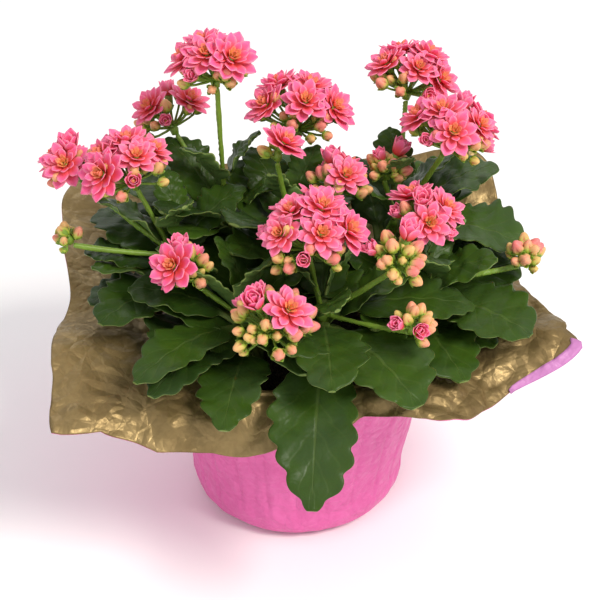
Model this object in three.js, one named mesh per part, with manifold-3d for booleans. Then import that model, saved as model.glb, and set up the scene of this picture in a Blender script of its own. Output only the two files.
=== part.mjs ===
// A potted kalanchoe with double flowers, in a nursery pot inside a flared foil pot cover.
// Millimetres, +Z up. The origin is the centre of the cover's base, on the surface it stands on;
// -Y is the front. Heights in the plant's tables are measured from the cover's rim.
import * as THREE from 'three';
import { mergeVertices } from 'three/addons/utils/BufferGeometryUtils.js';
import Module from 'manifold-3d';

const wasm = await Module();
wasm.setup();

// ---- Driving dimensions ---------------------------------------------------------------------

const GAP = 0.3;                // clearance between pieces that meet

// Nursery pot: a thin tapered plastic pot, 12 cm across nominally
const POT_RIM_R = 57.5;         // outside, over the lip
const POT_FOOT_R = 36.5;
const POT_HEIGHT = 84;
const POT_WALL = 1.4;
const POT_LIP_HEIGHT = 6;
const POT_LIP_OUT = 1.6;        // how far the lip stands out from the wall
const DRAIN_HOLES = 6;
const DRAIN_HOLE_R = 3.5;
const DRAIN_RING_R = 24;

// Soil
const SOIL_HEADSPACE = 9;       // from the pot's rim down to the soil's edge
const SOIL_CROWN = 4;           // how much higher the soil is in the middle

// Pot cover: a formed foil sheet, a cup with a flared four-cornered skirt
const COVER_WALL = 0.8;
const COVER_ABOVE_POT = 3;      // how far the cover's rim stands above the pot
const COVER_LIP_EASE = 1.5;     // room between the cover and the pot: at the lip's lower edge,
const COVER_BELLY_EASE = 6;     // at the belly, where the rounded foot meets the straight taper,
const COVER_FOOT_EASE = 2.5;    // and at the foot
const COVER_BELLY_HEIGHT = 22;
const PLEATS = 24;
const PLEAT_DEPTH = 0.5;
const SKIRT_CROWN = 4;          // how far the skirt bows up between the rim and its edge
const SKIRT_WAVE = 1.6;

// The skirt's edge, going round from the right: azimuth in degrees, reach beyond the rim,
// and height above it.
const SKIRT_EDGE = [
  [9, 38, 2], [29, 53, 7], [43, 54, 34], [65, 34, 28], [90, 26, 24], [118, 38, 22],
  [145, 61, 25], [161, 46, 17], [180, 33, 8], [198, 42, 9], [212, 51, 3], [223, 64, -2],
  [237, 35, -12], [260, 20, -14], [287, 18, -2], [300, 24, 0], [318, 33, -6], [332, 42, -5],
  [341, 60, 10], [354, 44, 8],
];

// Stems and flower stalks
const STEM_R = 2.8;
const STEM_SET = 12;            // how deep a stem sits in the soil
const SOCKET_EASE = 1;          // room round a stem where it enters the soil
const STALK_R = 1.4;
const PEDICEL_R = 0.7;
const HUB_R = 2.5;              // swelling where a head's pedicels meet

// Flowers
const BLOOM_R = 7.5;
const BLOOM_DEPTH = 6;
const BUD_R = 4;
const BUD_STRETCH = 1.3;
const HEAD_SPREAD = 80;         // degrees from a head's axis to its outermost flower
const HEAD_LEAN = 0.005;        // how much a head leans out, for each mm from the plant's axis
const GOLDEN_ANGLE = 137.5;

// Leaves
const LEAF_THICKNESS = 1.8;
const LEAF_EDGE = 0.9;
const LEAF_CRENATION = 1.1;     // depth of the scallops along the margin
const LEAF_STATIONS = 10;
const PETIOLE_WIDTH = 4;
const PETIOLE_THICKNESS = 2.4;
const PETIOLE_SHARE = 0.17;     // of the leaf's length

// Each stem: where it leaves the soil, where it forks, the heads that it carries and its leaves.
// A head: centre (x, y, height above the rim), radius, open flowers, buds and turn in degrees.
// A leaf: place along the stem (0 to 1), azimuth, pitch, length and width.
const STEMS = {
  front_right: {
    base: [12, -28], fork: [10, -36, 22],
    heads: {
      centre: [5, -43, 64, 17, 7, 6, 20],
      buds_right: [38, -52, 59, 10, 1, 7, 60],
      buds_front_right: [44, -62, 36, 7, 0, 6, 10],
    },
    leaves: [
      [0.80, 266, -27, 78, 34], [0.86, 306, -8, 58, 36], [0.92, 273, -9, 50, 28],
      [0.97, 345, 2, 58, 32], [0.72, 288, -4, 46, 30],
    ],
  },
  front_left: {
    base: [-16, -22], fork: [-20, -34, 18],
    heads: {
      left_middle: [-42, -38, 46, 9, 2, 5, 100],
      buds_front: [-10, -66, 41, 15, 2, 9, 200],
    },
    leaves: [
      [0.90, 229, 2, 62, 33], [0.70, 243, 4, 60, 30], [0.82, 262, -2, 56, 30],
      [0.95, 205, 18, 46, 30],
    ],
  },
  left: {
    base: [-34, -4], fork: [-50, -4, 30],
    heads: {
      left_far: [-91, 4, 68, 8, 3, 4, 0],
      left_main: [-67, -8, 74, 15, 6, 6, 45],
      buds_left: [-92, -12, 44, 3, 0, 2, 0],
    },
    leaves: [
      [0.75, 239, 2, 56, 36], [0.60, 262, 10, 52, 32], [0.95, 180, 8, 46, 24],
      [0.85, 150, 14, 50, 32], [0.70, 205, 12, 50, 34],
    ],
  },
  back_left: {
    base: [-20, 16], fork: [-30, 20, 36],
    heads: {
      top_left: [-33, 8, 110, 13, 6, 5, 130],
      back_left: [-53, 34, 78, 13, 3, 4, 80],
    },
    leaves: [
      [0.95, 232, 30, 42, 30], [0.80, 128, 12, 56, 36], [0.88, 172, 22, 46, 30],
      [0.65, 96, 18, 52, 34],
    ],
  },
  middle: {
    base: [0, 8], fork: [-2, 8, 34],
    heads: {
      middle_top: [1, 24, 84, 17, 6, 5, 10],
      single: [-8, -4, 78, 4, 1, 1, 0],
      middle_right: [17, 4, 62, 11, 3, 5, 150],
    },
    leaves: [
      [0.95, 236, 34, 44, 32], [0.85, 84, 20, 56, 36], [0.75, 300, 30, 40, 30],
      [0.90, 168, 40, 40, 28],
    ],
  },
  back_right: {
    base: [26, 22], fork: [42, 18, 34],
    heads: {
      right_top: [48, 40, 92, 15, 6, 5, 0],
      right_top_low: [62, 6, 83, 16, 7, 5, 70],
      buds_middle: [37, 12, 64, 7, 1, 6, 30],
    },
    leaves: [
      [0.97, 330, -6, 56, 38], [0.98, 8, 26, 44, 32], [0.80, 48, 14, 56, 36],
      [0.70, 76, 16, 52, 34], [0.88, 30, 22, 48, 30],
    ],
  },
  right: {
    base: [36, -8], fork: [52, -14, 24],
    heads: {
      right: [50, -20, 58, 12, 4, 5, 220],
      buds_far_right: [93, -12, 36, 6, 0, 5, 0],
    },
    leaves: [
      [0.90, 325, 2, 54, 42], [0.60, 292, 6, 56, 32], [0.80, 356, 10, 50, 34],
      [0.70, 20, 14, 50, 32], [0.96, 60, 24, 44, 28],
    ],
  },
};

// ---- Derived dimensions ---------------------------------------------------------------------

const POT_Z = COVER_WALL + GAP;
const POT_TOP = POT_Z + POT_HEIGHT;
const RIM_Z = POT_TOP + COVER_ABOVE_POT;
const SOIL_EDGE_Z = POT_TOP - SOIL_HEADSPACE;

const LIP_Z = POT_TOP - POT_LIP_HEIGHT;
const FOOT_R = POT_FOOT_R + COVER_FOOT_EASE;
const BELLY_R = potRadius(COVER_BELLY_HEIGHT - POT_Z) + COVER_BELLY_EASE + COVER_WALL;
const CUP_TAPER = (POT_RIM_R + COVER_LIP_EASE + COVER_WALL - BELLY_R) / (LIP_Z - COVER_BELLY_HEIGHT);
const RIM_R = BELLY_R + CUP_TAPER * (RIM_Z - COVER_BELLY_HEIGHT);

// ---- Geometry helpers -----------------------------------------------------------------------

const rad = THREE.MathUtils.degToRad;
const vector = (x, y, z) => new THREE.Vector3(x, y, z);
const UP = vector(0, 0, 1);

/** A closed geometry as a solid for joining, cutting and testing. */
function solidOf(geometry) {
  const bare = geometry.clone();
  bare.deleteAttribute('normal');
  bare.deleteAttribute('uv');
  const merged = mergeVertices(bare, 1e-4);
  return new wasm.Manifold(new wasm.Mesh({
    numProp: 3,
    vertProperties: merged.attributes.position.array,
    triVerts: new Uint32Array(merged.index.array),
  }));
}

/** A solid's faces as a geometry. */
function geometryOf(solid) {
  const { vertProperties, triVerts } = solid.getMesh();
  const geometry = new THREE.BufferGeometry();
  geometry.setAttribute('position', new THREE.BufferAttribute(vertProperties, 3));
  geometry.setIndex(new THREE.BufferAttribute(triVerts, 1));
  geometry.computeVertexNormals();
  return geometry;
}

/** Several closed geometries joined into one. */
function joined(geometries) {
  return geometryOf(geometries.map(solidOf).reduce((whole, piece) => whole.add(piece)));
}

/** A round bar of even radius along a curve. */
function bar(curve, radius, sides, steps) {
  const section = new THREE.Shape();
  for (let i = 0; i < sides; i++) {
    const angle = (2 * Math.PI * i) / sides;
    section.lineTo(radius * Math.cos(angle), radius * Math.sin(angle));
  }
  return new THREE.ExtrudeGeometry(section, { extrudePath: curve, steps, bevelEnabled: false });
}

/** A short straight rod between two points. */
function rod(from, to, radius, sides) {
  const along = to.clone().sub(from);
  const geometry = new THREE.CylinderGeometry(radius, radius, along.length(), sides);
  const turn = new THREE.Quaternion().setFromUnitVectors(vector(0, 1, 0), along.normalize());
  return geometry.applyQuaternion(turn).translate(...from.clone().add(to).multiplyScalar(0.5));
}

const plant = new THREE.Group();
const settled = [];             // solids already in place, which later leaves keep clear of

/** A named piece of the plant, with its own material. */
function add(name, geometry, color, roughness, metalness = 0) {
  const material = new THREE.MeshStandardMaterial({ color, roughness, metalness });
  const mesh = new THREE.Mesh(geometry, material);
  mesh.name = name;
  plant.add(mesh);
  return mesh;
}

/** Keeps a piece's solid in the list of what leaves must not touch. */
function settle(mesh) {
  mesh.updateMatrixWorld(true);
  const placed = mesh.geometry.clone().applyMatrix4(mesh.matrixWorld);
  placed.computeBoundingBox();
  settled.push({ solid: solidOf(placed), box: placed.boundingBox });
}

/** True where a closed geometry touches nothing that is already in place. */
function isClear(geometry) {
  geometry.computeBoundingBox();
  const near = settled.filter(({ box }) => box.intersectsBox(geometry.boundingBox));
  if (near.length === 0) return true;
  const solid = solidOf(geometry);
  return near.every((other) => solid.intersect(other.solid).volume() < 1e-6);
}

// ---- Pot cover ------------------------------------------------------------------------------

/** The cup's outside radius at a height: a rounded foot, then a straight taper to the rim. */
function cupRadius(z) {
  if (z < COVER_BELLY_HEIGHT) {
    const drop = 1 - z / COVER_BELLY_HEIGHT;
    return FOOT_R + (BELLY_R - FOOT_R) * Math.sqrt(1 - drop * drop);
  }
  return BELLY_R + CUP_TAPER * (z - COVER_BELLY_HEIGHT);
}

/** The skirt's reach and lift at an azimuth, on a smooth curve through its edge points. */
function skirtEdge(azimuth) {
  const count = SKIRT_EDGE.length;
  const wrapped = (i) => {
    const [angle, reach, lift] = SKIRT_EDGE[((i % count) + count) % count];
    return [angle + 360 * Math.floor(i / count), reach, lift];
  };
  let turn = ((azimuth % 360) + 360) % 360;
  if (turn < SKIRT_EDGE[0][0]) turn += 360;
  let at = 0;
  while (wrapped(at + 1)[0] <= turn) at++;
  const [before, left, right, after] = [at - 1, at, at + 1, at + 2].map(wrapped);
  const span = right[0] - left[0];
  const t = (turn - left[0]) / span;
  return [1, 2].map((k) => {
    const leave = ((right[k] - before[k]) / (right[0] - before[0])) * span;
    const arrive = ((after[k] - left[k]) / (after[0] - left[0])) * span;
    const bend = 2 * left[k] - 2 * right[k] + leave + arrive;
    const sag = 3 * right[k] - 3 * left[k] - 2 * leave - arrive;
    return ((bend * t + sag) * t + leave) * t + left[k];
  });
}

/** A point on the cover's outside. Along goes 0 to 1 up the cup, then 1 to 2 across the skirt. */
function coverPoint(azimuth, along) {
  const pleat = Math.cos(rad(azimuth * PLEATS)) * PLEAT_DEPTH;
  if (along <= 1) {
    const z = RIM_Z * along;
    const fade = Math.min(1, z / COVER_BELLY_HEIGHT);
    return vector(1, 0, 0).multiplyScalar(cupRadius(z) + pleat * fade)
      .applyAxisAngle(UP, rad(azimuth)).setZ(z);
  }
  const out = along - 1;
  const [reach, lift] = skirtEdge(azimuth);
  const wave = SKIRT_WAVE * out * (Math.sin(rad(azimuth * 7 + 40)) + Math.sin(rad(azimuth * 11)));
  const z = RIM_Z + lift * out ** 1.4 + SKIRT_CROWN * Math.sin(Math.PI * out) + wave;
  return vector(RIM_R + pleat * (1 - out) + reach * out, 0, 0)
    .applyAxisAngle(UP, rad(azimuth)).setZ(z);
}

/** The cover's inside point behind an outside one, a wall's thickness away. */
function coverInside(azimuth, along) {
  const small = 0.02;
  const ahead = Math.min(along + small, 2);
  const round = coverPoint(azimuth + 1, along).sub(coverPoint(azimuth - 1, along));
  const onward = coverPoint(azimuth, ahead).sub(coverPoint(azimuth, ahead - small));
  const inward = onward.cross(round).normalize();
  return coverPoint(azimuth, along).addScaledVector(inward, COVER_WALL);
}

function coverGeometry() {
  const turns = PLEATS * 2;
  const rows = [0.05, 0.14, 0.25, 0.5, 0.75, 1, 1.15, 1.4, 1.7, 2];
  const positions = [];
  const faces = [];
  const ring = (pointAt) => {
    for (let i = 0; i < turns; i++) positions.push(...pointAt((360 * i) / turns));
    return positions.length / 3 - turns;
  };
  const band = (lower, upper) => {
    for (let i = 0; i < turns; i++) {
      const next = (i + 1) % turns;
      faces.push(lower + i, lower + next, upper + next, lower + i, upper + next, upper + i);
    }
  };
  const disc = (edge, z, facesUp) => {
    positions.push(0, 0, z);
    const centre = positions.length / 3 - 1;
    for (let i = 0; i < turns; i++) {
      const [a, b] = facesUp ? [i, (i + 1) % turns] : [(i + 1) % turns, i];
      faces.push(centre, edge + a, edge + b);
    }
  };
  const circle = (radius, z) => (azimuth) =>
    vector(radius, 0, z).applyAxisAngle(UP, rad(azimuth));
  const foot = ring(circle(FOOT_R, 0));
  const outside = rows.map((along) => ring((azimuth) => coverPoint(azimuth, along)));
  const inside = rows.map((along) => ring((azimuth) => coverInside(azimuth, along))).reverse();
  const floor = ring(circle(FOOT_R - COVER_WALL, COVER_WALL));
  disc(foot, 0, false);
  const rings = [foot, ...outside, ...inside, floor];
  for (let i = 0; i + 1 < rings.length; i++) band(rings[i], rings[i + 1]);
  disc(floor, COVER_WALL, true);
  const geometry = new THREE.BufferGeometry();
  geometry.setAttribute('position', new THREE.Float32BufferAttribute(positions, 3));
  geometry.setIndex(faces);
  geometry.computeVertexNormals();
  return geometry;
}

// ---- Nursery pot and soil -------------------------------------------------------------------

/** The pot's outside radius at a height above its foot, without the lip. */
function potRadius(height) {
  return POT_FOOT_R + ((POT_RIM_R - POT_LIP_OUT - POT_FOOT_R) * height) / POT_HEIGHT;
}

/** A solid turned about the vertical axis from a profile of [radius, z] pairs. */
function turned(profile, segments) {
  const points = profile.map(([radius, z]) => new THREE.Vector2(radius, z));
  return new THREE.LatheGeometry(points, segments).rotateX(Math.PI / 2);
}

function potGeometry() {
  const lip = POT_HEIGHT - POT_LIP_HEIGHT;
  const shell = turned([
    [0, 0], [POT_FOOT_R, 0], [potRadius(lip), lip], [POT_RIM_R, lip], [POT_RIM_R, POT_HEIGHT],
    [potRadius(POT_HEIGHT) - POT_WALL, POT_HEIGHT], [POT_FOOT_R - POT_WALL, POT_WALL],
    [0, POT_WALL],
  ], 32);
  let pot = solidOf(shell.translate(0, 0, POT_Z));
  for (let i = 0; i < DRAIN_HOLES; i++) {
    const centre = vector(DRAIN_RING_R, 0, POT_Z).applyAxisAngle(UP, (2 * Math.PI * i) / DRAIN_HOLES);
    const reach = vector(0, 0, POT_WALL * 2);
    pot = pot.subtract(solidOf(rod(centre.clone().sub(reach), centre.add(reach), DRAIN_HOLE_R, 8)));
  }
  return geometryOf(pot);
}

/** The soil's height at a distance from the pot's axis. */
function soilZ(radius) {
  return SOIL_EDGE_Z + SOIL_CROWN * Math.cos((Math.PI / 2) * (radius / POT_RIM_R));
}

function soilGeometry() {
  const floorZ = POT_WALL + GAP;
  const edge = SOIL_EDGE_Z - POT_Z;
  const inner = (height) => potRadius(height) - POT_WALL - GAP * 1.5;
  const profile = [[0, POT_Z + floorZ], [inner(floorZ) - GAP, POT_Z + floorZ]];
  for (const share of [1, 0.66, 0.33]) {
    const radius = inner(edge) * share;
    profile.push([radius, soilZ(radius)]);
  }
  profile.push([0, soilZ(0)]);
  let soil = solidOf(turned(profile, 24));
  for (const { base } of Object.values(STEMS)) {
    const top = vector(...base, soilZ(Math.hypot(...base)) + STEM_R);
    const bottom = top.clone().setZ(top.z - STEM_R - STEM_SET - GAP);
    soil = soil.subtract(solidOf(rod(bottom, top, STEM_R + SOCKET_EASE, 8)));
  }
  return geometryOf(soil);
}

// ---- Stems and flower heads -----------------------------------------------------------------

/** The curve that a stem follows: upright out of the soil, then leaning to its fork. */
function stemCurve({ base, fork }) {
  const ground = soilZ(Math.hypot(...base));
  const tip = vector(fork[0], fork[1], RIM_Z + fork[2]);
  return new THREE.CatmullRomCurve3([
    vector(...base, ground - STEM_SET),
    vector(...base, ground + 3),
    vector(...base, ground).lerp(tip, 0.5).add(vector(0, 0, 3)),
    tip,
  ]);
}

/** A head's hub, where its pedicels meet, and the direction in which it faces. */
function headPose([x, y, height, radius]) {
  const axis = vector(x * HEAD_LEAN, y * HEAD_LEAN, 1).normalize();
  const hub = vector(x, y, RIM_Z + height).addScaledVector(axis, -0.6 * radius);
  return { axis, hub };
}

/** The stalk from a stem's fork to a head's hub: outwards first, then up into the head. */
function stalkCurve(fork, { axis, hub }) {
  const end = hub.clone().addScaledVector(axis, -(HUB_R + GAP + STALK_R / 2));
  const bend = fork.clone().lerp(end, 0.6);
  bend.z = Math.min(bend.z, end.z - 0.35 * (end.z - fork.z) - 2);
  return new THREE.QuadraticBezierCurve3(fork, bend, end);
}

function stemGeometry(stem) {
  const curve = stemCurve(stem);
  const fork = curve.getPoint(1);
  const stalks = Object.values(stem.heads).map((head) =>
    bar(stalkCurve(fork, headPose(head)), STALK_R, 5, 5));
  const knot = new THREE.IcosahedronGeometry(STEM_R * 1.25, 0).translate(...fork);
  return joined([bar(curve, STEM_R, 6, 6), knot, ...stalks]);
}

/** Where a head's open flowers and buds sit: directions on a dome, the open ones in the middle. */
function headItems(open, buds, turn) {
  return Array.from({ length: open + buds }, (_, i) => {
    const polar = rad(HEAD_SPREAD) * Math.sqrt((i + 0.5) / (open + buds));
    const around = rad(turn + i * GOLDEN_ANGLE);
    return {
      isOpen: i < open,
      direction: vector(
        Math.sin(polar) * Math.cos(around),
        Math.sin(polar) * Math.sin(around),
        Math.cos(polar),
      ),
    };
  });
}

/** A head about its hub, with its axis along +Z: pedicels, cup-shaped flowers and pointed buds. */
function headGeometry([, , , radius, open, buds, turn]) {
  const pieces = [new THREE.IcosahedronGeometry(HUB_R, 0)];
  for (const { isOpen, direction } of headItems(open, buds, turn)) {
    const place = direction.clone().multiplyScalar(radius);
    pieces.push(rod(direction.clone().multiplyScalar(HUB_R * 0.7), place, PEDICEL_R, 3));
    const flower = isOpen
      ? new THREE.CylinderGeometry(BLOOM_R, BLOOM_R / 3, BLOOM_DEPTH, 5)
      : new THREE.OctahedronGeometry(BUD_R, 0).scale(1, BUD_STRETCH, 1);
    const face = new THREE.Quaternion().setFromUnitVectors(vector(0, 1, 0), direction);
    pieces.push(flower.applyQuaternion(face).translate(...place));
  }
  return joined(pieces);
}

function addHead(name, head) {
  const [, , , , open] = head;
  const { axis, hub } = headPose(head);
  const mesh = add(`flower_head_${name}`, headGeometry(head), open ? 0xe8707f : 0xeeb481, 0.55);
  mesh.position.copy(hub);
  mesh.quaternion.setFromUnitVectors(UP, axis);
  return mesh;
}

// ---- Leaves ---------------------------------------------------------------------------------

/** Half the leaf's width at a place along it: a petiole, then a broad blade with a blunt tip. */
function leafHalfWidth(along, width) {
  if (along <= PETIOLE_SHARE) return PETIOLE_WIDTH / 2;
  const blade = (along - PETIOLE_SHARE) / (1 - PETIOLE_SHARE);
  const outline = (width / 2) * Math.sin(Math.PI * blade ** 0.85) ** 0.6;
  const station = Math.round(along * LEAF_STATIONS);
  const scallop = blade > 0.2 && blade < 0.98 ? LEAF_CRENATION * (station % 2 ? 1 : -1) : 0;
  return Math.max(PETIOLE_WIDTH / 2, outline + scallop);
}

/** A leaf along +Y from its petiole's end, arched up and slightly cupped, grown by a margin. */
function leafGeometry(length, width, arch, margin) {
  const spine = new THREE.QuadraticBezierCurve3(
    vector(0, 0, 0), vector(0, length * 0.5, arch * 2), vector(0, length, 0));
  const blank = new THREE.BoxGeometry(2, 1, 2, 2, LEAF_STATIONS, 1);
  const { position } = blank.attributes;
  for (let i = 0; i < position.count; i++) {
    const [across, side] = [position.getX(i), position.getZ(i)];
    const along = position.getY(i) + 0.5;
    const half = leafHalfWidth(along, width) + margin;
    const middle = along <= PETIOLE_SHARE ? PETIOLE_THICKNESS : LEAF_THICKNESS;
    const thickness = (across === 0 ? middle : Math.min(middle, LEAF_EDGE)) / 2 + margin;
    const cup = across * across * half * 0.16;
    const normal = spine.getTangent(along).applyAxisAngle(vector(1, 0, 0), Math.PI / 2);
    const place = spine.getPoint(along).addScaledVector(normal, cup + side * thickness);
    position.setXYZ(i, across * half, place.y, place.z);
  }
  blank.computeVertexNormals();
  return blank;
}

const LEAF_GREENS = [0x425a1d, 0x3f5325, 0x2d3a1d, 0x4b6428];

/** A leaf on its stem, turned and tilted by the least that keeps it clear of what is there. */
function addLeaf(name, stem, [at, azimuth, pitch, length, width], index) {
  const foot = stemCurve(stem).getPoint(at);
  const arch = length * 0.1;
  const geometry = leafGeometry(length, width, arch, 0);
  const tested = leafGeometry(length, width, arch, GAP / 2);
  const mesh = add(name, geometry, LEAF_GREENS[index % LEAF_GREENS.length], 0.4);
  for (const [tilt, turn, roll, slide] of LEAF_TRIES) {
    const rise = rad(pitch + tilt);
    const lean = Math.abs(Math.sin(rise + Math.atan((4 * arch) / length)));
    const heading = vector(1, 0, 0).applyAxisAngle(UP, rad(azimuth + turn));
    const off = STEM_R + GAP * 2 + lean * PETIOLE_THICKNESS;
    mesh.position.copy(foot).addScaledVector(heading, off).setZ(foot.z + slide);
    mesh.rotation.set(rise, rad(roll), rad(azimuth + turn - 90), 'ZXY');
    mesh.updateMatrixWorld(true);
    if (isClear(tested.clone().applyMatrix4(mesh.matrixWorld))) {
      settle(mesh);
      return;
    }
  }
  throw new Error(`${name} has no clear place`);
}

/** Small changes of a leaf's tilt, turn, roll and height on its stem, the smallest first. */
function leafTries() {
  const tries = [];
  for (const slide of [0, 4, -4, 8, -8]) {
    for (const roll of [0, -14, 14, -28, 28]) {
      for (const turn of [0, -8, 8, -16, 16, -26, 26, -40, 40]) {
        for (const tilt of [0, 5, -5, 10, -10, 16, 24, 34, 46]) tries.push([tilt, turn, roll, slide]);
      }
    }
  }
  const effort = ([tilt, turn, roll, slide]) =>
    Math.abs(tilt) + Math.abs(turn) + Math.abs(roll) * 0.6 + Math.abs(slide) * 2;
  return tries.sort((a, b) => effort(a) - effort(b));
}
const LEAF_TRIES = leafTries();

// ---- The whole plant ------------------------------------------------------------------------

const cover = add('pot_cover', coverGeometry(), 0xe66daf, 0.45);
const pot = add('nursery_pot', potGeometry(), 0x7a4a3a, 0.6);
const soil = add('soil', soilGeometry(), 0x3a2a1e, 0.95);
[cover, pot, soil].forEach(settle);

for (const [name, stem] of Object.entries(STEMS)) {
  settle(add(`stem_${name}`, stemGeometry(stem), 0x6f8f32, 0.5));
  for (const [head, row] of Object.entries(stem.heads)) settle(addHead(head, row));
}

for (const [name, stem] of Object.entries(STEMS)) {
  stem.leaves.forEach((leaf, i) => addLeaf(`leaf_${name}_${i + 1}`, stem, leaf, i));
}

export default plant;
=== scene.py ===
"""A potted kalanchoe with double pink flowers, in a nursery pot inside a flared foil pot cover.

Metres, +Z up, front towards -Y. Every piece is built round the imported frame, whose nodes say where
the leaves, stems, flower heads, soil, pot and cover are.
"""

import math

import bmesh
import bpy
import numpy as np
from mathutils import Matrix, Vector, noise


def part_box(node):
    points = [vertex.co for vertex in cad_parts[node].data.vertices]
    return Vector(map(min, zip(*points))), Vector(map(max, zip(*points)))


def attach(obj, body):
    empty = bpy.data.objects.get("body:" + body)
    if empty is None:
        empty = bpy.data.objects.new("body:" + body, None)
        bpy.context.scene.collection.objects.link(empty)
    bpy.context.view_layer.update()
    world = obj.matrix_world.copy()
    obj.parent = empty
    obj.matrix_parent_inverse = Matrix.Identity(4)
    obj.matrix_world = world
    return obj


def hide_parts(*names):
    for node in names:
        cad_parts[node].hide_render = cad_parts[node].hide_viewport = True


bl_info = {
    "name": "Potted Kalanchoe",
    "version": (1, 0, 0),
    "blender": (4, 5, 0),
    "location": "View3D > Sidebar > Kalanchoe",
    "description": "Builds a flowering kalanchoe in a foil pot cover around its CAD frame",
    "category": "Add Mesh",
}

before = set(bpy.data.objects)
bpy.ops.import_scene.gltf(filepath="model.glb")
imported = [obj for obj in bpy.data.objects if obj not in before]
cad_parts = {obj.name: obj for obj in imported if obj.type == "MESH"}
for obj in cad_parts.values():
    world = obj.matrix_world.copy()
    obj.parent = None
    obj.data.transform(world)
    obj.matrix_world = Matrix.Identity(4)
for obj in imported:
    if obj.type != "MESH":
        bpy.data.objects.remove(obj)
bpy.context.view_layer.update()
MM = 0.001
RIM_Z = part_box("nursery_pot")[1][2] + 3 * MM    # the cover's rim, just above the pot's lip
GOLDEN = math.radians(137.5)
UP = Vector((0, 0, 1))
SAME_PLACE = 0.01 * MM          # vertices closer than this are one

# Each flower head as the frame lays it out: radius in mm, open flowers, buds, turn in degrees,
# and how many of the open flowers are still half open.
HEADS = {
    "centre": (17, 7, 6, 20, 0),
    "buds_right": (10, 1, 7, 60, 1),
    "buds_front_right": (7, 0, 6, 10, 0),
    "left_middle": (9, 2, 5, 100, 1),
    "buds_front": (15, 2, 9, 200, 1),
    "left_far": (8, 3, 4, 0, 1),
    "left_main": (15, 6, 6, 45, 0),
    "buds_left": (3, 0, 2, 0, 0),
    "top_left": (13, 6, 5, 130, 0),
    "back_left": (13, 3, 4, 80, 1),
    "middle_top": (17, 6, 5, 10, 0),
    "single": (4, 1, 1, 0, 0),
    "middle_right": (11, 3, 5, 150, 1),
    "right_top": (15, 6, 5, 0, 0),
    "right_top_low": (16, 7, 5, 70, 1),
    "buds_middle": (7, 1, 6, 30, 1),
    "right": (12, 4, 5, 220, 1),
    "buds_far_right": (6, 0, 5, 0, 0),
}
# Each stem: its foot and its fork (x, y), and the fork's height above the cover's rim, in mm.
STEMS = {
    "front_right": ((12, -28), (10, -36), 22),
    "front_left": ((-16, -22), (-20, -34), 18),
    "left": ((-34, -4), (-50, -4), 30),
    "back_left": ((-20, 16), (-30, 20), 36),
    "middle": ((0, 8), (-2, 8), 34),
    "back_right": ((26, 22), (42, 18), 34),
    "right": ((36, -8), (52, -14), 24),
}
HEAD_SPREAD = math.radians(80)      # from a head's axis to its outermost flower
HEAD_LEAN = 5.0                     # how much a head leans out, for each metre from the plant's axis
FRAME_BLOOM_R = 7.5 * MM            # the frame's plain flower cups and buds, used to find each hub
FRAME_BLOOM_DEPTH = 6 * MM
FRAME_BUD_R = 4.6 * MM
HUB_R = 2.5 * MM


def srgb(code):
    """A hex colour as linear RGBA."""
    parts = [int(code[i:i + 2], 16) / 255 for i in (1, 3, 5)]
    return tuple(c / 12.92 if c <= 0.04045 else ((c + 0.055) / 1.055) ** 2.4 for c in parts) + (1,)


# ---- Settings -------------------------------------------------------------------------------

def length_property(name, description, millimetres):
    return bpy.props.FloatProperty(
        name=name, description=description, default=millimetres * MM, min=0, unit="LENGTH",
        precision=5)


def colour_property(name, description, code):
    return bpy.props.FloatVectorProperty(
        name=name, description=description, subtype="COLOR", size=3, min=0, max=1,
        default=srgb(code)[:3])


class KalanchoeSizes(bpy.types.PropertyGroup):
    """Sizes of the plant's details."""
    leaf_thickness: length_property("Leaf thickness", "Thickness of a leaf along its midrib", 1.9)
    leaf_crenation: length_property("Crenation", "Depth of the scallops on a leaf's margin", 3.9)
    petal_length: length_property("Petal length", "Length of an outer petal", 9.4)
    petal_width: length_property("Petal width", "Width of an outer petal", 5.6)
    bud_length: length_property("Bud length", "Length of a closed bud", 6.2)
    bud_width: length_property("Bud width", "Width of a closed bud", 5.1)
    pedicel_width: length_property("Pedicel width", "Thickness of a flower's own stalk", 1.3)
    foil_thickness: length_property("Foil thickness", "Thickness of the cover's sheet", 0.35)
    foil_crease: length_property("Foil crease", "Height of the creases in the skirt", 3.2)
    pleat_depth: length_property("Pleat depth", "Depth of the pleats in the cup", 0.7)


class KalanchoeColours(bpy.types.PropertyGroup):
    """Colours of the plant and its pot."""
    leaf: colour_property("Leaf", "Upper side of a leaf", "#23380f")
    leaf_young: colour_property("Young leaf", "Lighter green of the younger leaves", "#44601a")
    leaf_under: colour_property("Leaf underside", "Paler lower side of a leaf", "#5f7a40")
    leaf_edge: colour_property("Leaf edge", "Thin pale margin of a leaf", "#93a55c")
    stem: colour_property("Stem", "Stems and flower stalks", "#7b9b37")
    petal_tip: colour_property("Petal tip", "Outer part of a petal", "#fa7ba4")
    petal_edge: colour_property("Petal edge", "Paler edges of a petal", "#ffb2be")
    petal_base: colour_property("Petal base", "Coral inner part of a petal", "#ea5450")
    petal_heart: colour_property("Flower heart", "Youngest petals in the middle", "#f4b266")
    bud_tip: colour_property("Bud tip", "Top of a bud", "#e56f78")
    bud_body: colour_property("Bud body", "Middle of a ripe bud", "#eaa888")
    bud_unripe: colour_property("Unripe bud", "Middle of a young bud", "#d9cd70")
    bud_base: colour_property("Bud base", "Foot of a bud", "#a4ba42")
    foil_pink: colour_property("Foil outside", "Pink outside of the cover", "#dd68a8")
    foil_gold: colour_property("Foil inside", "Brown-gold inside of the cover", "#927c52")
    soil: colour_property("Soil", "Moist peat", "#33241a")
    pot: colour_property("Pot", "Nursery pot plastic", "#7d4b39")


# ---- Modelling helpers ----------------------------------------------------------------------

def deselect_all():
    if bpy.context.object and bpy.context.object.mode != "OBJECT":
        bpy.ops.object.mode_set(mode="OBJECT")
    bpy.ops.object.select_all(action="DESELECT")


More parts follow.
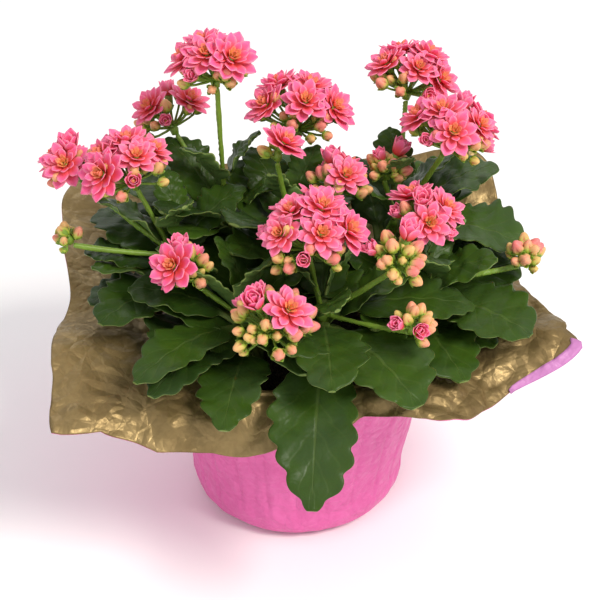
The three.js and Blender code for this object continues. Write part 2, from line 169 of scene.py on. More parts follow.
def name_new(name):
    """Names the object that an add operator has just made."""
    piece = bpy.context.object
    piece.name = name
    piece.data.name = name
    return piece


def activate(piece):
    deselect_all()
    piece.select_set(True)
    bpy.context.view_layer.objects.active = piece


def apply_modifier(piece, kind, **settings):
    """Adds a modifier with its settings and applies it."""
    modifier = piece.modifiers.new(kind.title(), kind)
    for key, value in settings.items():
        setattr(modifier, key, value)
    activate(piece)
    bpy.ops.object.modifier_apply(modifier=modifier.name)


def select_where(piece, test):
    """In edit mode, selects the vertices whose place passes a test, and says how many there are."""
    bpy.ops.mesh.select_mode(type="VERT")
    bpy.ops.mesh.select_all(action="DESELECT")
    shape = bmesh.from_edit_mesh(piece.data)
    chosen = [vertex for vertex in shape.verts if test(vertex.co)]
    for vertex in chosen:
        vertex.select_set(True)
    shape.select_flush(True)
    bmesh.update_edit_mesh(piece.data)
    return len(chosen)


def shape_rows(piece, rows):
    """Scales each cross row of a flat blank along +Y to its width, and lifts it.

    rows: (place along Y, scale across, lift).
    """
    activate(piece)
    bpy.ops.object.mode_set(mode="EDIT")
    for place, scale, lift in rows:
        if not select_where(piece, lambda co: abs(co.y - place) < SAME_PLACE):
            raise RuntimeError(f"{piece.name}: no row at {place}")
        bpy.ops.transform.resize(value=(scale, 1, 1), center_override=(0, place, 0))
        if lift:
            bpy.ops.transform.translate(value=(0, 0, lift))
    bpy.ops.object.mode_set(mode="OBJECT")


def read_array(items, key, width=1, kind=float):
    """One property of all of a mesh's items, as a flat array."""
    values = np.empty(len(items) * width, dtype=kind)
    items.foreach_get(key, values)
    return values


def read_shape(piece):
    """A piece's mesh as plain arrays, ready to be copied many times; the piece itself goes."""
    mesh = piece.data
    uv = read_array(mesh.uv_layers[0].data, "uv", 2) if mesh.uv_layers \
        else np.zeros(len(mesh.loops) * 2)
    shape = {"co": read_array(mesh.vertices, "co", 3).reshape(-1, 3),
             "loops": read_array(mesh.loops, "vertex_index", kind=np.int32),
             "totals": read_array(mesh.polygons, "loop_total", kind=np.int32),
             "sides": read_array(mesh.polygons, "material_index", kind=np.int32),
             "uv": uv.reshape(-1, 2)}
    bpy.data.objects.remove(piece)
    return shape


def link_object(name, data):
    """A new object for a mesh, light or camera, in the scene."""
    piece = bpy.data.objects.new(name, data)
    bpy.context.collection.objects.link(piece)
    return piece


def build_piece(name, parts, values=("tone",)):
    """One piece from placed copies: parts holds (shape, places of its vertices, {value: number}).

    Each named value becomes a vertex attribute, and the shape's two sides a face attribute.
    """
    starts = np.cumsum([0] + [len(place) for _, place, _ in parts])
    co = np.concatenate([place for _, place, _ in parts])
    loops = np.concatenate([shape["loops"] + start for (shape, _, _), start in zip(parts, starts)])
    totals, sides, uv = (np.concatenate([shape[key] for shape, _, _ in parts])
                         for key in ("totals", "sides", "uv"))
    mesh = bpy.data.meshes.new(name)
    mesh.vertices.add(len(co))
    mesh.vertices.foreach_set("co", co.ravel())
    mesh.loops.add(len(loops))
    mesh.loops.foreach_set("vertex_index", loops.astype(np.int32))
    mesh.polygons.add(len(totals))
    mesh.polygons.foreach_set("loop_start", np.concatenate([[0], np.cumsum(totals)[:-1]]))
    mesh.polygons.foreach_set("loop_total", totals)
    mesh.polygons.foreach_set("use_smooth", np.ones(len(totals), dtype=bool))
    mesh.update(calc_edges=True)
    mesh.uv_layers.new(name="Shape").data.foreach_set("uv", uv.ravel())
    for value in values:
        numbers = np.concatenate([np.broadcast_to(given[value], len(place)).astype(float)
                                  for _, place, given in parts])
        mesh.attributes.new(value, "FLOAT", "POINT").data.foreach_set("value", numbers)
    mesh.attributes.new("under", "FLOAT", "FACE").data.foreach_set("value", sides.astype(float))
    mesh.validate()
    return link_object(name, mesh)


def copy_node(node, name):
    """A piece that starts as a merged copy of a frame node, and keeps the node's properties."""
    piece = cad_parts[node].copy()
    piece.data = piece.data.copy()
    piece.name = piece.data.name = name
    piece.parent = None
    piece.matrix_world = Matrix.Identity(4)
    bpy.context.collection.objects.link(piece)
    activate(piece)
    bpy.ops.object.mode_set(mode="EDIT")
    bpy.ops.mesh.select_all(action="SELECT")
    bpy.ops.mesh.remove_doubles(threshold=SAME_PLACE)
    bpy.ops.object.mode_set(mode="OBJECT")
    return piece


def placed(shape, matrix):
    """A shape's vertices under a 4 x 4 matrix."""
    m = np.array(matrix)
    return shape["co"] @ m[:3, :3].T + m[:3, 3]


def finish_piece(piece, slot, materials, *nodes):
    """Rides a piece on the plant's one body, with its materials and the nodes that it replaces."""
    slots = piece.data.materials
    for index, material in enumerate(materials):
        if index < len(slots):
            slots[index] = material
        else:
            slots.append(material)
    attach(piece, "root")
    if nodes:
        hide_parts(*nodes)


def node_points(node):
    """A frame node's distinct vertices as an array."""
    co = read_array(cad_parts[node].data.vertices, "co", 3)
    return np.unique(co.reshape(-1, 3).round(7), axis=0)


def nodes_named(start):
    return sorted(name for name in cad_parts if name.startswith(start))


def clamp(value):
    """A number kept between 0 and 1."""
    return min(1, max(0, value))


def direction_at(azimuth, polar=math.pi / 2):
    """A direction from its azimuth and its angle from straight up."""
    return Vector((math.sin(polar) * math.cos(azimuth), math.sin(polar) * math.sin(azimuth),
                   math.cos(polar)))


def wave(*seeds):
    """A number from 0 to 1 that looks random but is always the same for the same seeds."""
    total = sum(seed * factor for seed, factor in zip(seeds, (12.9898, 78.233, 37.719)))
    return math.sin(total) * 43758.5453 % 1


# ---- Material helpers -----------------------------------------------------------------------

EASED = {"interpolation_type": "SMOOTHSTEP"}


def set_inputs(tree, node, inputs):
    """Sets a node's inputs to values or links them to outputs, by name, number or in order."""
    for key, value in inputs.items() if isinstance(inputs, dict) else enumerate(inputs):
        if isinstance(value, bpy.types.NodeSocket):
            tree.links.new(value, node.inputs[key])
        else:
            node.inputs[key].default_value = value


def add_node(tree, kind, inputs=(), **settings):
    """Adds a shader node with its settings and inputs, and returns its outputs."""
    made = tree.nodes.new("ShaderNode" + kind)
    for key, value in settings.items():
        setattr(made, key, value)
    set_inputs(tree, made, inputs)
    return made.outputs


def new_material(name, **sockets):
    """A material with its shader and the constants on the shader's own sockets."""
    material = bpy.data.materials.new(name)
    material.use_nodes = True
    shader = material.node_tree.nodes["Principled BSDF"]
    for key, value in sockets.items():
        shader.inputs[key.replace("_", " ")].default_value = value
    return material, material.node_tree, shader


def speckle(tree, size, detail=3.0, distortion=0.0):
    """Noise on object coordinates whose lumps are about a size across, in metres."""
    place = add_node(tree, "TexCoord")["Object"]
    return add_node(tree, "TexNoise", {"Vector": place, "Scale": 1 / size, "Detail": detail,
                                       "Distortion": distortion})["Fac"]


def patches(tree, size, low, high, detail=3.0, distortion=0.0):
    """Soft patches about a size across: 0 where the speckle is at low, 1 where it is at high."""
    return add_node(tree, "MapRange", (speckle(tree, size, detail, distortion), low, high),
                    **EASED)[0]


def layer(tree, under, over, where, share=1.0, blend="MIX"):
    """One colour laid over another as far as a mask says, times a share."""
    amount = add_node(tree, "Math", (where, share), operation="MULTIPLY")[0]
    return add_node(tree, "Mix", {0: amount, 6: under, 7: over}, data_type="RGBA",
                    blend_type=blend)[2]


def outline_place(tree):
    """Where a point lies on its leaf or petal: its UV, how far along, how far off the middle."""
    uv = add_node(tree, "UVMap", uv_map="Shape")[0]
    across, along, _ = add_node(tree, "SeparateXYZ", (uv,))
    offset = add_node(tree, "Math", (across, 0.5), operation="SUBTRACT")[0]
    return uv, along, add_node(tree, "Math", (offset,), operation="ABSOLUTE")[0]


def emboss(tree, shader, height, distance, strength, onto=None):
    """Gives the shader a bump of a height in metres, over an earlier one; returns its normal."""
    inputs = {"Height": height, "Distance": distance, "Strength": strength}
    if onto is not None:
        inputs["Normal"] = onto
    normal = add_node(tree, "Bump", inputs)["Normal"]
    set_inputs(tree, shader, {"Normal": normal})
    return normal


def colour(name):
    """A setting's colour as RGBA."""
    return tuple(getattr(bpy.context.scene.kalanchoe_colours, name)) + (1.0,)


def sizes():
    return bpy.context.scene.kalanchoe_sizes


# ---- Materials ------------------------------------------------------------------------------

SIDE_VEINS = 7                  # on each side of a leaf's midrib


def leaf_material():
    """Living succulent leaf: waxy cuticle, so a smooth gloss over a mottled dark green, with painted
    grey sheen in broad patches.
    """
    material, tree, shader = new_material(
        "kalanchoe_leaf_waxy", IOR=1.42, Specular_IOR_Level=0.2,
        Subsurface_Weight=0.04, Subsurface_Scale=0.002)
    _, along, off_middle = outline_place(tree)
    tone, under = (add_node(tree, "Attribute", attribute_name=name)["Fac"]
                   for name in ("tone", "under"))
    mottle = patches(tree, 10 * MM, 0.3, 0.75, 4.0, 0.6)
    # Broad greyer patches are painted sheen: grey reflections of the gloss laid into the green below.
    painted_sheen_patches = patches(tree, 26 * MM, 0.45, 0.7, 3.0, 0.8)
    green = layer(tree, colour("leaf"), colour("leaf_young"), tone)
    green = layer(tree, green, srgb("#20351a"), mottle, 0.4)
    green = layer(tree, green, srgb("#3f4c38"), painted_sheen_patches, 0.25)
    # Side veins leave the midrib at a slant and fade before the margin.
    vein = add_node(tree, "Math", (off_middle, -0.55, along), operation="MULTIPLY_ADD")[0]
    for operation, number in (("MULTIPLY", 2 * math.pi * SIDE_VEINS), ("SINE", 0.0),
                              ("MAXIMUM", 0.0), ("POWER", 8.0)):
        vein = add_node(tree, "Math", (vein, number), operation=operation)[0]
    # The midrib narrows towards the tip, and the margin is a thin pale line.
    rib_width = add_node(tree, "MapRange", (along, 0.1, 0.95, 0.045, 0.012))[0]
    rib = add_node(tree, "Math", (off_middle, rib_width), operation="DIVIDE")[0]
    fade, rib, petiole, side, tip = (
        add_node(tree, "MapRange", limits, **EASED)[0] for limits in (
            (off_middle, 0.45, 0.25), (rib, 1.0, 0.3), (along, 0.22, 0.1),
            (off_middle, 0.488, 0.499), (along, 0.995, 1.0)))
    vein = add_node(tree, "Math", (vein, fade), operation="MULTIPLY")[0]
    margin = add_node(tree, "Math", (side, tip), operation="MAXIMUM")[0]
    pale = layer(tree, green, colour("leaf_edge"), 0.55)
    for where, share, over in ((vein, 0.05, pale), (rib, 0.16, pale), (petiole, 0.6, pale),
                               (margin, 0.6, colour("leaf_edge")),
                               (under, 0.8, colour("leaf_under"))):
        green = layer(tree, green, over, where, share)
    dull, height = 0.28, 0.0
    for where, share in ((mottle, 0.14), (under, 0.2)):
        dull = add_node(tree, "Math", (where, share, dull), operation="MULTIPLY_ADD")[0]
    for where, share in ((mottle, 0.4), (vein, -0.2), (rib, -0.6)):
        height = add_node(tree, "Math", (where, share, height), operation="MULTIPLY_ADD")[0]
    set_inputs(tree, shader, {"Base Color": green, "Roughness": dull})
    puckered = emboss(tree, shader, speckle(tree, 7 * MM, 2.0, 0.5), 0.9 * MM, 0.6)
    emboss(tree, shader, height, 0.35 * MM, 0.8, onto=puckered)
    return material


def stem_material():
    """Living stem: fleshy and waxy, yellow-green with darker patches, browner near the soil."""
    material, tree, shader = new_material(
        "kalanchoe_stem_fleshy", Roughness=0.42, IOR=1.42, Subsurface_Weight=0.1,
        Subsurface_Scale=0.002)
    patch = patches(tree, 14 * MM, 0.35, 0.7)
    green = layer(tree, colour("stem"), srgb("#6a8431"), patch, 0.5)
    place = add_node(tree, "TexCoord")["Object"]
    height = add_node(tree, "SeparateXYZ", (place,))["Z"]
    woody = add_node(tree, "MapRange", (height, 118 * MM, 84 * MM), **EASED)[0]
    green = layer(tree, green, srgb("#5d5a34"), woody, 0.7)
    set_inputs(tree, shader, {"Base Color": green})
    emboss(tree, shader, speckle(tree, 1.5 * MM, 2.0), 0.15 * MM, 0.6)
    return material


def petal_material():
    """Living petal: matt and soft, pink at the tip and edges, coral inside, orange at the heart."""
    material, tree, shader = new_material(
        "kalanchoe_petal_soft", Roughness=0.55, IOR=1.38, Specular_IOR_Level=0.25,
        Subsurface_Weight=0.1, Subsurface_Scale=0.0015)
    uv, along, off_middle = outline_place(tree)
    tone, whorl = (add_node(tree, "Attribute", attribute_name=name)["Fac"]
                   for name in ("tone", "whorl"))
    reach = add_node(tree, "Math", (off_middle, 0.25, along), operation="MULTIPLY_ADD")[0]
    stretched = add_node(tree, "Mapping", {"Vector": uv, "Scale": (12.0, 1.2, 1.0)})[0]
    streak = add_node(tree, "TexNoise", {"Vector": stretched, "Scale": 1.0, "Detail": 2.0})["Fac"]
    rim, outer, heart_tip, inner, streaked = (
        add_node(tree, "MapRange", limits, **EASED)[0] for limits in (
            (off_middle, 0.2, 0.5), (reach, 0.25, 0.88), (along, 0.25, 0.95), (whorl, 0.5, 1.0),
            (streak, 0.45, 0.7)))
    tip = layer(tree, colour("petal_tip"), srgb("#ef5a94"), tone, 0.75)
    tip = layer(tree, tip, colour("petal_edge"), rim, 0.42)
    flush = layer(tree, colour("petal_base"), tip, outer)
    heart = layer(tree, colour("petal_heart"), srgb("#f0806a"), heart_tip)
    flush = layer(tree, flush, heart, inner)
    flush = layer(tree, flush, srgb("#c92f55"), streaked, 0.12)
    set_inputs(tree, shader, {"Base Color": flush})
    emboss(tree, shader, streak, 0.12 * MM, 0.6)
    return material


def bud_material():
    """Living bud: waxy, peach with a coral tip over a yellow-green foot."""
    material, tree, shader = new_material(
        "kalanchoe_bud_waxy", Roughness=0.42, IOR=1.4, Specular_IOR_Level=0.35,
        Subsurface_Weight=0.08, Subsurface_Scale=0.0012)
    uv = add_node(tree, "UVMap", uv_map="Shape")[0]
    groove, up, _ = add_node(tree, "SeparateXYZ", (uv,))
    tone = add_node(tree, "Attribute", attribute_name="tone")["Fac"]
    green_to = add_node(tree, "Math", (tone, -0.45, 1.15), operation="MULTIPLY_ADD")[0]
    rise = add_node(tree, "Math", (up, green_to), operation="DIVIDE")[0]
    redness = add_node(tree, "Math", (tone, 0.9, 0.1), operation="MULTIPLY_ADD")[0]
    ripe, above_foot, top, seam_and_groove_shade, upper = (
        add_node(tree, "MapRange", limits, **EASED)[0] for limits in (
            (tone, 0.1, 0.9), (rise, 0.3, 1.05), (up, 0.4, 0.95), (groove, 0.4, 0.0),
            (up, 0.3, 0.6)))
    body = layer(tree, colour("bud_unripe"), colour("bud_body"), ripe)
    skin = layer(tree, colour("bud_base"), body, above_foot)
    skin = layer(tree, skin, colour("bud_tip"), top, redness)
    # The petals wrapped round each other meet in four seams, painted darker red: partly the seams' own
    # redder colour, partly painted shade in their grooves.
    skin = layer(tree, skin, srgb("#c9505a"), seam_and_groove_shade, upper)
    skin = layer(tree, skin, srgb("#dd7a6c"), patches(tree, 2.2 * MM, 0.45, 0.75, 2.0), 0.25)
    set_inputs(tree, shader, {"Base Color": skin})
    emboss(tree, shader, speckle(tree, 1.0 * MM, 2.0), 0.1 * MM, 0.5)
    return material


def foil_material(name, base, other, crease_highlight, roughness, metallic, crease_highlight_share):
    """Metallised paper foil, formed and crumpled: flat facets with sharp edges, patchy gloss, and a
    painted highlight along its crease ridges.
    """
    material, tree, shader = new_material(name, Metallic=metallic, Specular_IOR_Level=0.35)
    patch = patches(tree, 30 * MM, 0.3, 0.75, 5.0, 1.0)
    fine = patches(tree, 4 * MM, 0.35, 0.65, 5.0, 1.5)
    # A slow warp keeps the facets and the ridges from running straight.
    place = add_node(tree, "TexCoord")["Object"]
    warp = add_node(tree, "TexNoise", {"Vector": place, "Scale": 1 / (18 * MM),
                                       "Detail": 2.0})["Color"]
    warp = add_node(tree, "VectorMath", (warp, (7 * MM,) * 3), operation="MULTIPLY")[0]
    place = add_node(tree, "VectorMath", (place, warp), operation="ADD")[0]
    relief = 0.0
    for size, slope in ((23 * MM, 0.14), (11 * MM, 0.16), (5 * MM, 0.1)):
        edge = add_node(tree, "TexVoronoi", {"Vector": place, "Scale": 1 / size},
                        feature="DISTANCE_TO_EDGE")["Distance"]
        relief = add_node(tree, "Math", (edge, size * slope / MM, relief),
                          operation="MULTIPLY_ADD")[0]
    # The ridged crease lines below get a lighter colour: a painted highlight along the folds.
    ridge = add_node(tree, "TexNoise", {"Vector": place, "Scale": 1 / (26 * MM), "Detail": 4.0,
                                        "Distortion": 1.2},
                     noise_type="RIDGED_MULTIFRACTAL")["Fac"]
    ridge = add_node(tree, "MapRange", (ridge, 0.75, 1.0), **EASED)[0]
    skin = layer(tree, base, other, patch, 0.6)
    skin = layer(tree, skin, other, fine, 0.12, "MULTIPLY")
    # Painted highlight: the lighter colour laid along the crease ridges.
    skin = layer(tree, skin, crease_highlight, ridge, crease_highlight_share)
    gloss = add_node(tree, "Math", (fine, 0.14, roughness), operation="MULTIPLY_ADD")[0]
    set_inputs(tree, shader, {"Base Color": skin, "Roughness": gloss})
    facets = emboss(tree, shader, relief, 1.0 * MM, 1.0)
    emboss(tree, shader, speckle(tree, 2 * MM, 3.0, 1.0), 0.1 * MM, 0.5, onto=facets)
    return material


def soil_material():
    """Moist peat with bark: very rough, dark brown with paler fibres."""
    material, tree, shader = new_material("potting_soil_peat", Roughness=0.95, Specular_IOR_Level=0.2)
    grain = patches(tree, 2 * MM, 0.35, 0.65, 5.0)
    dirt = layer(tree, srgb("#1d140e"), colour("soil"), grain)
    dirt = layer(tree, dirt, srgb("#6b5139"), patches(tree, 6 * MM, 0.55, 0.7), 0.5)
    set_inputs(tree, shader, {"Base Color": dirt})
    emboss(tree, shader, grain, 0.8 * MM, 1.0)
    return material


def pot_material():
    """Thermoformed polypropylene: matt terracotta brown with faint forming marks."""
    material, tree, shader = new_material("nursery_pot_polypropylene", Roughness=0.5, IOR=1.49)
    cloud = patches(tree, 12 * MM, 0.3, 0.7, 4.0)
    set_inputs(tree, shader, {"Base Color": layer(tree, colour("pot"), srgb("#5e3527"), cloud, 0.3)})
    emboss(tree, shader, speckle(tree, 0.8 * MM), 0.05 * MM, 0.6)
    return material


def floor_material():
    """Matt white studio floor with a barely visible grain."""
    material, tree, shader = new_material("studio_floor_matt", Roughness=0.85)
    grain = layer(tree, srgb("#fbfbfb"), srgb("#f4f4f3"), speckle(tree, 40 * MM), 0.3)
    set_inputs(tree, shader, {"Base Color": grain})
    return material


_made = {}


def made_once(make, *details):
    """What a function makes, made the first time and kept: a material or a set of shapes."""
    key = (make.__name__, details[:1])
    if key not in _made:
        _made[key] = make(*details)
    return _made[key]


# ---- Leaves ---------------------------------------------------------------------------------

LEAF_ROWS = 60
LEAF_COLUMNS = 6
BLANK_LENGTH = 60 * MM
BLANK_WIDTH = 34 * MM
PETIOLE_SHARE = 0.17
PETIOLE_HALF = 2.1 * MM
SCALLOP_RISE = 0.72             # share of a scallop that swells; the rest falls back to the notch
LEAF_BLANKS = ((5, 0.15), (7, 0.5), (6, 0.7))   # scallops to a side, and where the first starts
LEAF_END = 8 * MM               # how much of each end tells the narrow foot from the broad tip
# Each leaf's length and width as a share of its node's, where it isn't the usual one.
USUAL_FILL = (0.95, 1.0)
LEAF_FILL = {"right_1": (0.87, 0.95), "right_3": (0.84, 1.0), "left_1": (0.84, 0.85),
             "left_3": (0.74, 0.9), "left_4": (0.88, 1.0), "left_5": (0.82, 0.85),
             "front_left_1": (0.92, 0.7), "front_left_2": (0.97, 0.85),
             "front_left_3": (0.95, 0.82), "front_right_1": (0.98, 0.94)}


def leaf_half_width(along, teeth, phase):
    """Half the blank's width: a petiole, then a broad blade whose scallops point to its tip."""
    if along <= PETIOLE_SHARE:
        return PETIOLE_HALF * (1.25 - along)
    blade = (along - PETIOLE_SHARE) / (1 - PETIOLE_SHARE)
    outline = BLANK_WIDTH / 2 * math.sin(math.pi * min(blade, 0.995) ** 0.95) ** 0.56
    through = (teeth * blade + phase) % 1
    if through < SCALLOP_RISE:
        edge = math.sin(math.pi / 2 * through / SCALLOP_RISE) ** 0.8
    else:
        edge = math.cos(math.pi / 2 * (through - SCALLOP_RISE) / (1 - SCALLOP_RISE)) ** 0.6
    depth = sizes().leaf_crenation * clamp((blade - 0.16) * 4)
    return max(PETIOLE_HALF * 0.8, outline - depth * (0.8 - edge))


def leaf_blank(teeth, phase):
    """A flat leaf along +Y: a grid shaped row by row, thickened, thinner at its margin."""
    deselect_all()
    bpy.ops.mesh.primitive_grid_add(
        x_subdivisions=LEAF_COLUMNS, y_subdivisions=LEAF_ROWS, size=1, calc_uvs=True)
    leaf = name_new("leaf_blank")
    for _ in ("upper side", "lower side"):
        leaf.data.materials.append(None)
    bpy.ops.transform.resize(value=(2, BLANK_LENGTH, 1))
    bpy.ops.object.transform_apply(location=False, rotation=False, scale=True)
    rows = []
    for row in range(LEAF_ROWS + 1):
        along = row / LEAF_ROWS
        half = leaf_half_width(along, teeth, phase)
        rows.append(((along - 0.5) * BLANK_LENGTH, half, 0))
    shape_rows(leaf, rows)
    thick = leaf.vertex_groups.new(name="thick")
    for vertex in leaf.data.vertices:
        off = abs(vertex.index % (LEAF_COLUMNS + 1) / LEAF_COLUMNS - 0.5) * 2
        petiole = 1.25 if vertex.co.y < (PETIOLE_SHARE - 0.5) * BLANK_LENGTH else 1.0
        thick.add([vertex.index], min(1.0, (1 - 0.62 * off ** 1.6) * petiole), "REPLACE")
    apply_modifier(leaf, "SOLIDIFY", thickness=sizes().leaf_thickness, offset=0,
                   vertex_group="thick", thickness_vertex_group=0.0, material_offset=1)
    apply_modifier(leaf, "SUBSURF", levels=1, render_levels=1)
    leaf.data.transform(Matrix.Translation((0, BLANK_LENGTH / 2, 0)))
    return read_shape(leaf)


def surface_terms(a, b):
    """The terms of a leaf's curved middle surface, a along it and b across."""
    return [a ** 0, a, a ** 2, a ** 3, b ** 2, b ** 2 * a, b]


def leaf_fit(points):
    """A frame leaf's place and bend.

    Returns its origin, its axes (across, along, up), its length and width, a function for the
    height of its middle surface, and the line that its midrib follows across it.
    """
    centre = points.mean(axis=0)
    spread = np.linalg.eigh(np.cov((points - centre).T))[1]
    along, up = spread[:, 2], spread[:, 0]
    if up[2] < 0:
        up = -up
    across = np.cross(along, up)
    local = (points - centre) @ np.column_stack([across, along, up])
    near = local[local[:, 1] < local[:, 1].min() + LEAF_END]
    far = local[local[:, 1] > local[:, 1].max() - LEAF_END]
    if np.ptp(near[:, 0]) > np.ptp(far[:, 0]):
        along, across = -along, -across
        local[:, :2] *= -1
    start = local[:, 1].min()
    a, b, h = local[:, 1] - start, local[:, 0], local[:, 2]
    fit = np.linalg.lstsq(np.column_stack(surface_terms(a, b)), h, rcond=None)[0]

    def height(a, b):
        return sum(k * term for k, term in zip(fit, surface_terms(a, b)))

    return (centre + along * start, (across, along, up), np.ptp(local[:, 1]), np.ptp(b), height,
            np.polyfit(a, b, 1))


def bend_leaf(shape, pose, seed):
    """A flat blank laid along a leaf's own curved surface, uneven and with a waved margin."""
    origin, (across, along, up), length, width, height, ridge = pose
    share = shape["co"][:, 1] / BLANK_LENGTH
    off = shape["co"][:, 0] / (BLANK_WIDTH / 2)
    blade = np.clip((share - PETIOLE_SHARE) * 4, 0, 1)
    skew = 0.14 * (wave(seed, 12) - 0.5)
    a = (share + skew * off * blade * (1 - share)) * length
    uneven = 1 + 0.09 * np.sin(2 * math.pi * (1.2 * share + wave(seed, 11))) * np.sign(off)
    squeeze = width / BLANK_WIDTH
    b = shape["co"][:, 0] * (squeeze * uneven * blade + (1 - blade)) + np.polyval(ridge, a)
    waves = 1.6 + 1.4 * wave(seed, 1)
    ripple = np.sin(2 * math.pi * (waves * share + wave(seed, 2)) + np.sign(off) * 1.1)
    lift = height(a, b) + off ** 2 * ripple * blade * (0.9 + 1.3 * wave(seed, 3)) * MM
    quilt = np.cos(off * 2 * math.pi) * np.sin(2 * math.pi * 6 * (share - 0.1 * np.abs(off)))
    lift = lift + 0.35 * MM * blade * quilt
    step = 0.5 * MM
    slope_a = (height(a + step, b) - height(a - step, b)) / (2 * step)
    slope_b = (height(a, b + step) - height(a, b - step)) / (2 * step)
    normal = np.column_stack([-slope_b, -slope_a, np.ones_like(a)])
    normal /= np.linalg.norm(normal, axis=1)[:, None]
    local = np.column_stack([b, a, lift]) + normal * shape["co"][:, 2:3]
    return origin + local @ np.array([across, along, up])


def leaf_blanks():
    return [leaf_blank(teeth, phase) for teeth, phase in LEAF_BLANKS]


def make_leaves():
    blanks = made_once(leaf_blanks)
    for index, node in enumerate(nodes_named("leaf_")):
        shape = blanks[index % len(blanks)]
        origin, axes, length, width, height, ridge = leaf_fit(node_points(node))
        long, wide = LEAF_FILL.get(node[5:], USUAL_FILL)
        pose = (origin, axes, length * long, width * wide, height, ridge)
        # The leaves further to the left get a darker tone, those further right a lighter one.
        tone = clamp(0.18 + 4 * origin[0] + 0.4 * wave(index, 7))
        leaf = build_piece(f"blade_{node[5:]}",
                           [(shape, bend_leaf(shape, pose, index), {"tone": tone})])
        finish_piece(leaf, "leaf", [made_once(leaf_material)], node)


def arched_pose(foot, azimuth, pitch, roll, length, width, arch):
    """The place and bend of a leaf that has no node of its own."""
    along = direction_at(azimuth, math.pi / 2 - pitch)
    across = along.cross(UP).normalized()
    up = across.cross(along)
    turn = Matrix.Rotation(roll, 3, along)
    across, up = turn @ across, turn @ up

    def height(a, b):
        rise = 4 * arch * (a / length) * (1 - a / length)
        return rise + 0.16 * b ** 2 / (width / 2)

    axes = tuple(np.array(v) for v in (across, along, up))
    return np.array(foot), axes, length, width, height, np.array([0.0, 0.0])


# Each pair of young leaves: its share of the way up to the fork, its length in mm and its pitch.
YOUNG_PAIRS = ((0.08, 50, 4), (0.35, 46, 16), (0.62, 42, 24), (0.98, 36, 36), (1.35, 27, 46))


def make_young_leaves():
    """The younger leaves, in crossed pairs up each stem, which crowd the middle of the plant."""
    blanks = made_once(leaf_blanks)
    seed = 0
    for stem, (base, fork, fork_height) in STEMS.items():
        parts = []
        foot = Vector((base[0], base[1], 0)) * MM
        top = Vector((fork[0], fork[1], 0)) * MM
        for number, (share, long, pitch) in enumerate(YOUNG_PAIRS):
            for side in (0, 1):
                seed += 1
                node = foot.lerp(top, min(share, 1))
                node.z = RIM_Z + (fork_height * share + 3 * wave(seed, 4)) * MM
                azimuth = (math.pi * (side + number / 2) + 0.7 * wave(seed, 5)
                           + 1.1 * len(stem))
                heading = direction_at(azimuth)
                outwards = max(0, heading.dot(node.normalized()))
                length = long * (0.85 + 0.25 * wave(seed, 6)) * MM
                lean = math.radians(pitch + 14 * wave(seed, 7) - 8 * outwards)
                pose = arched_pose(node + heading * 1.5 * MM, azimuth, lean,
                                   (wave(seed, 8) - 0.5) * 0.8, length,
                                   length * (0.5 + 0.12 * wave(seed, 9)), length * 0.1)
                shape = blanks[seed % len(blanks)]
                parts.append((shape, bend_leaf(shape, pose, 100 + seed),
                              {"tone": 0.25 + 0.6 * wave(seed, 10)}))
        finish_piece(build_piece(f"young_leaves_{stem}", parts), "leaf",
                     [made_once(leaf_material)])


# ---- Stems ----------------------------------------------------------------------------------

def make_stems():
    """Each stem with its stalks, rounded, its surface made a little uneven."""
    for node in nodes_named("stem_"):
        stem = copy_node(node, f"stalks_{node[5:]}")
        apply_modifier(stem, "REMESH", mode="VOXEL", voxel_size=0.6 * MM, use_smooth_shade=True)
        apply_modifier(stem, "SMOOTH", factor=0.5, iterations=4)
        for vertex in stem.data.vertices:
            vertex.co += vertex.normal * noise.noise(vertex.co / (7 * MM)) * 0.25 * MM
        bpy.ops.object.shade_smooth()
        finish_piece(stem, "stem", [made_once(stem_material)], node)


# ---- Flowers --------------------------------------------------------------------------------

# A petal's rows from its foot to its point: width and lift as shares of its width and length.
PETAL_ROWS = ((0.34, 0.0), (0.62, 0.0), (0.88, 0.01), (1.0, 0.03), (0.8, 0.05), (0.1, 0.04))
# A flower's whorls, outermost first. Each is: petals, tilt above the flower's plane in degrees,
# share of the full petal length, distance from the axis and height in mm, how inner its colour is.
OPEN_WHORLS = ((8, 4, 1.0, 1.5, 0.0, 0.0), (7, 20, 0.84, 1.5, 0.6, 0.15),
               (6, 42, 0.6, 1.3, 1.1, 0.55), (5, 60, 0.42, 0.8, 1.5, 0.9),
               (3, 75, 0.32, 0.3, 1.6, 1.0))
HALF_OPEN_WHORLS = ((5, 64, 0.86, 1.6, 0.0, 0.05), (5, 72, 0.8, 1.1, 0.3, 0.2),
                    (4, 80, 0.7, 0.6, 0.5, 0.5))
# The buds that hang together: distance from the middle of the group in mm, and size.
BUD_GROUP = ((1.5, 1.0), (3.3, 0.9), (3.9, 0.76), (4.9, 0.6))


def petal_shape():
    """A broad pointed petal along +Y from its foot: a grid shaped row by row and thickened."""
    length, width = sizes().petal_length, sizes().petal_width
    deselect_all()
    bpy.ops.mesh.primitive_grid_add(x_subdivisions=4, y_subdivisions=len(PETAL_ROWS) - 1, size=1,
                                    calc_uvs=True, location=(0, 0.5, 0))
    petal = name_new("petal")
    bpy.ops.object.transform_apply(location=True, rotation=False, scale=False)
    bpy.ops.transform.resize(value=(width, length, 1), center_override=(0, 0, 0))
    bpy.ops.object.transform_apply(location=True, rotation=False, scale=True)
    shape_rows(petal, [(row / (len(PETAL_ROWS) - 1) * length, wide, lift * length)
                       for row, (wide, lift) in enumerate(PETAL_ROWS)])
    activate(petal)
    bpy.ops.object.mode_set(mode="EDIT")
    for line, drop in ((0, 0.1), (0.25, 0.05)):
        select_where(petal, lambda co: abs(abs(co.x) - line * width) < 0.13 * width
                     and 0.1 * length < co.y < 0.95 * length)
        bpy.ops.transform.translate(value=(0, 0, -drop * width))
    bpy.ops.object.mode_set(mode="OBJECT")
    apply_modifier(petal, "SOLIDIFY", thickness=0.3 * MM, offset=0)
    return read_shape(petal)


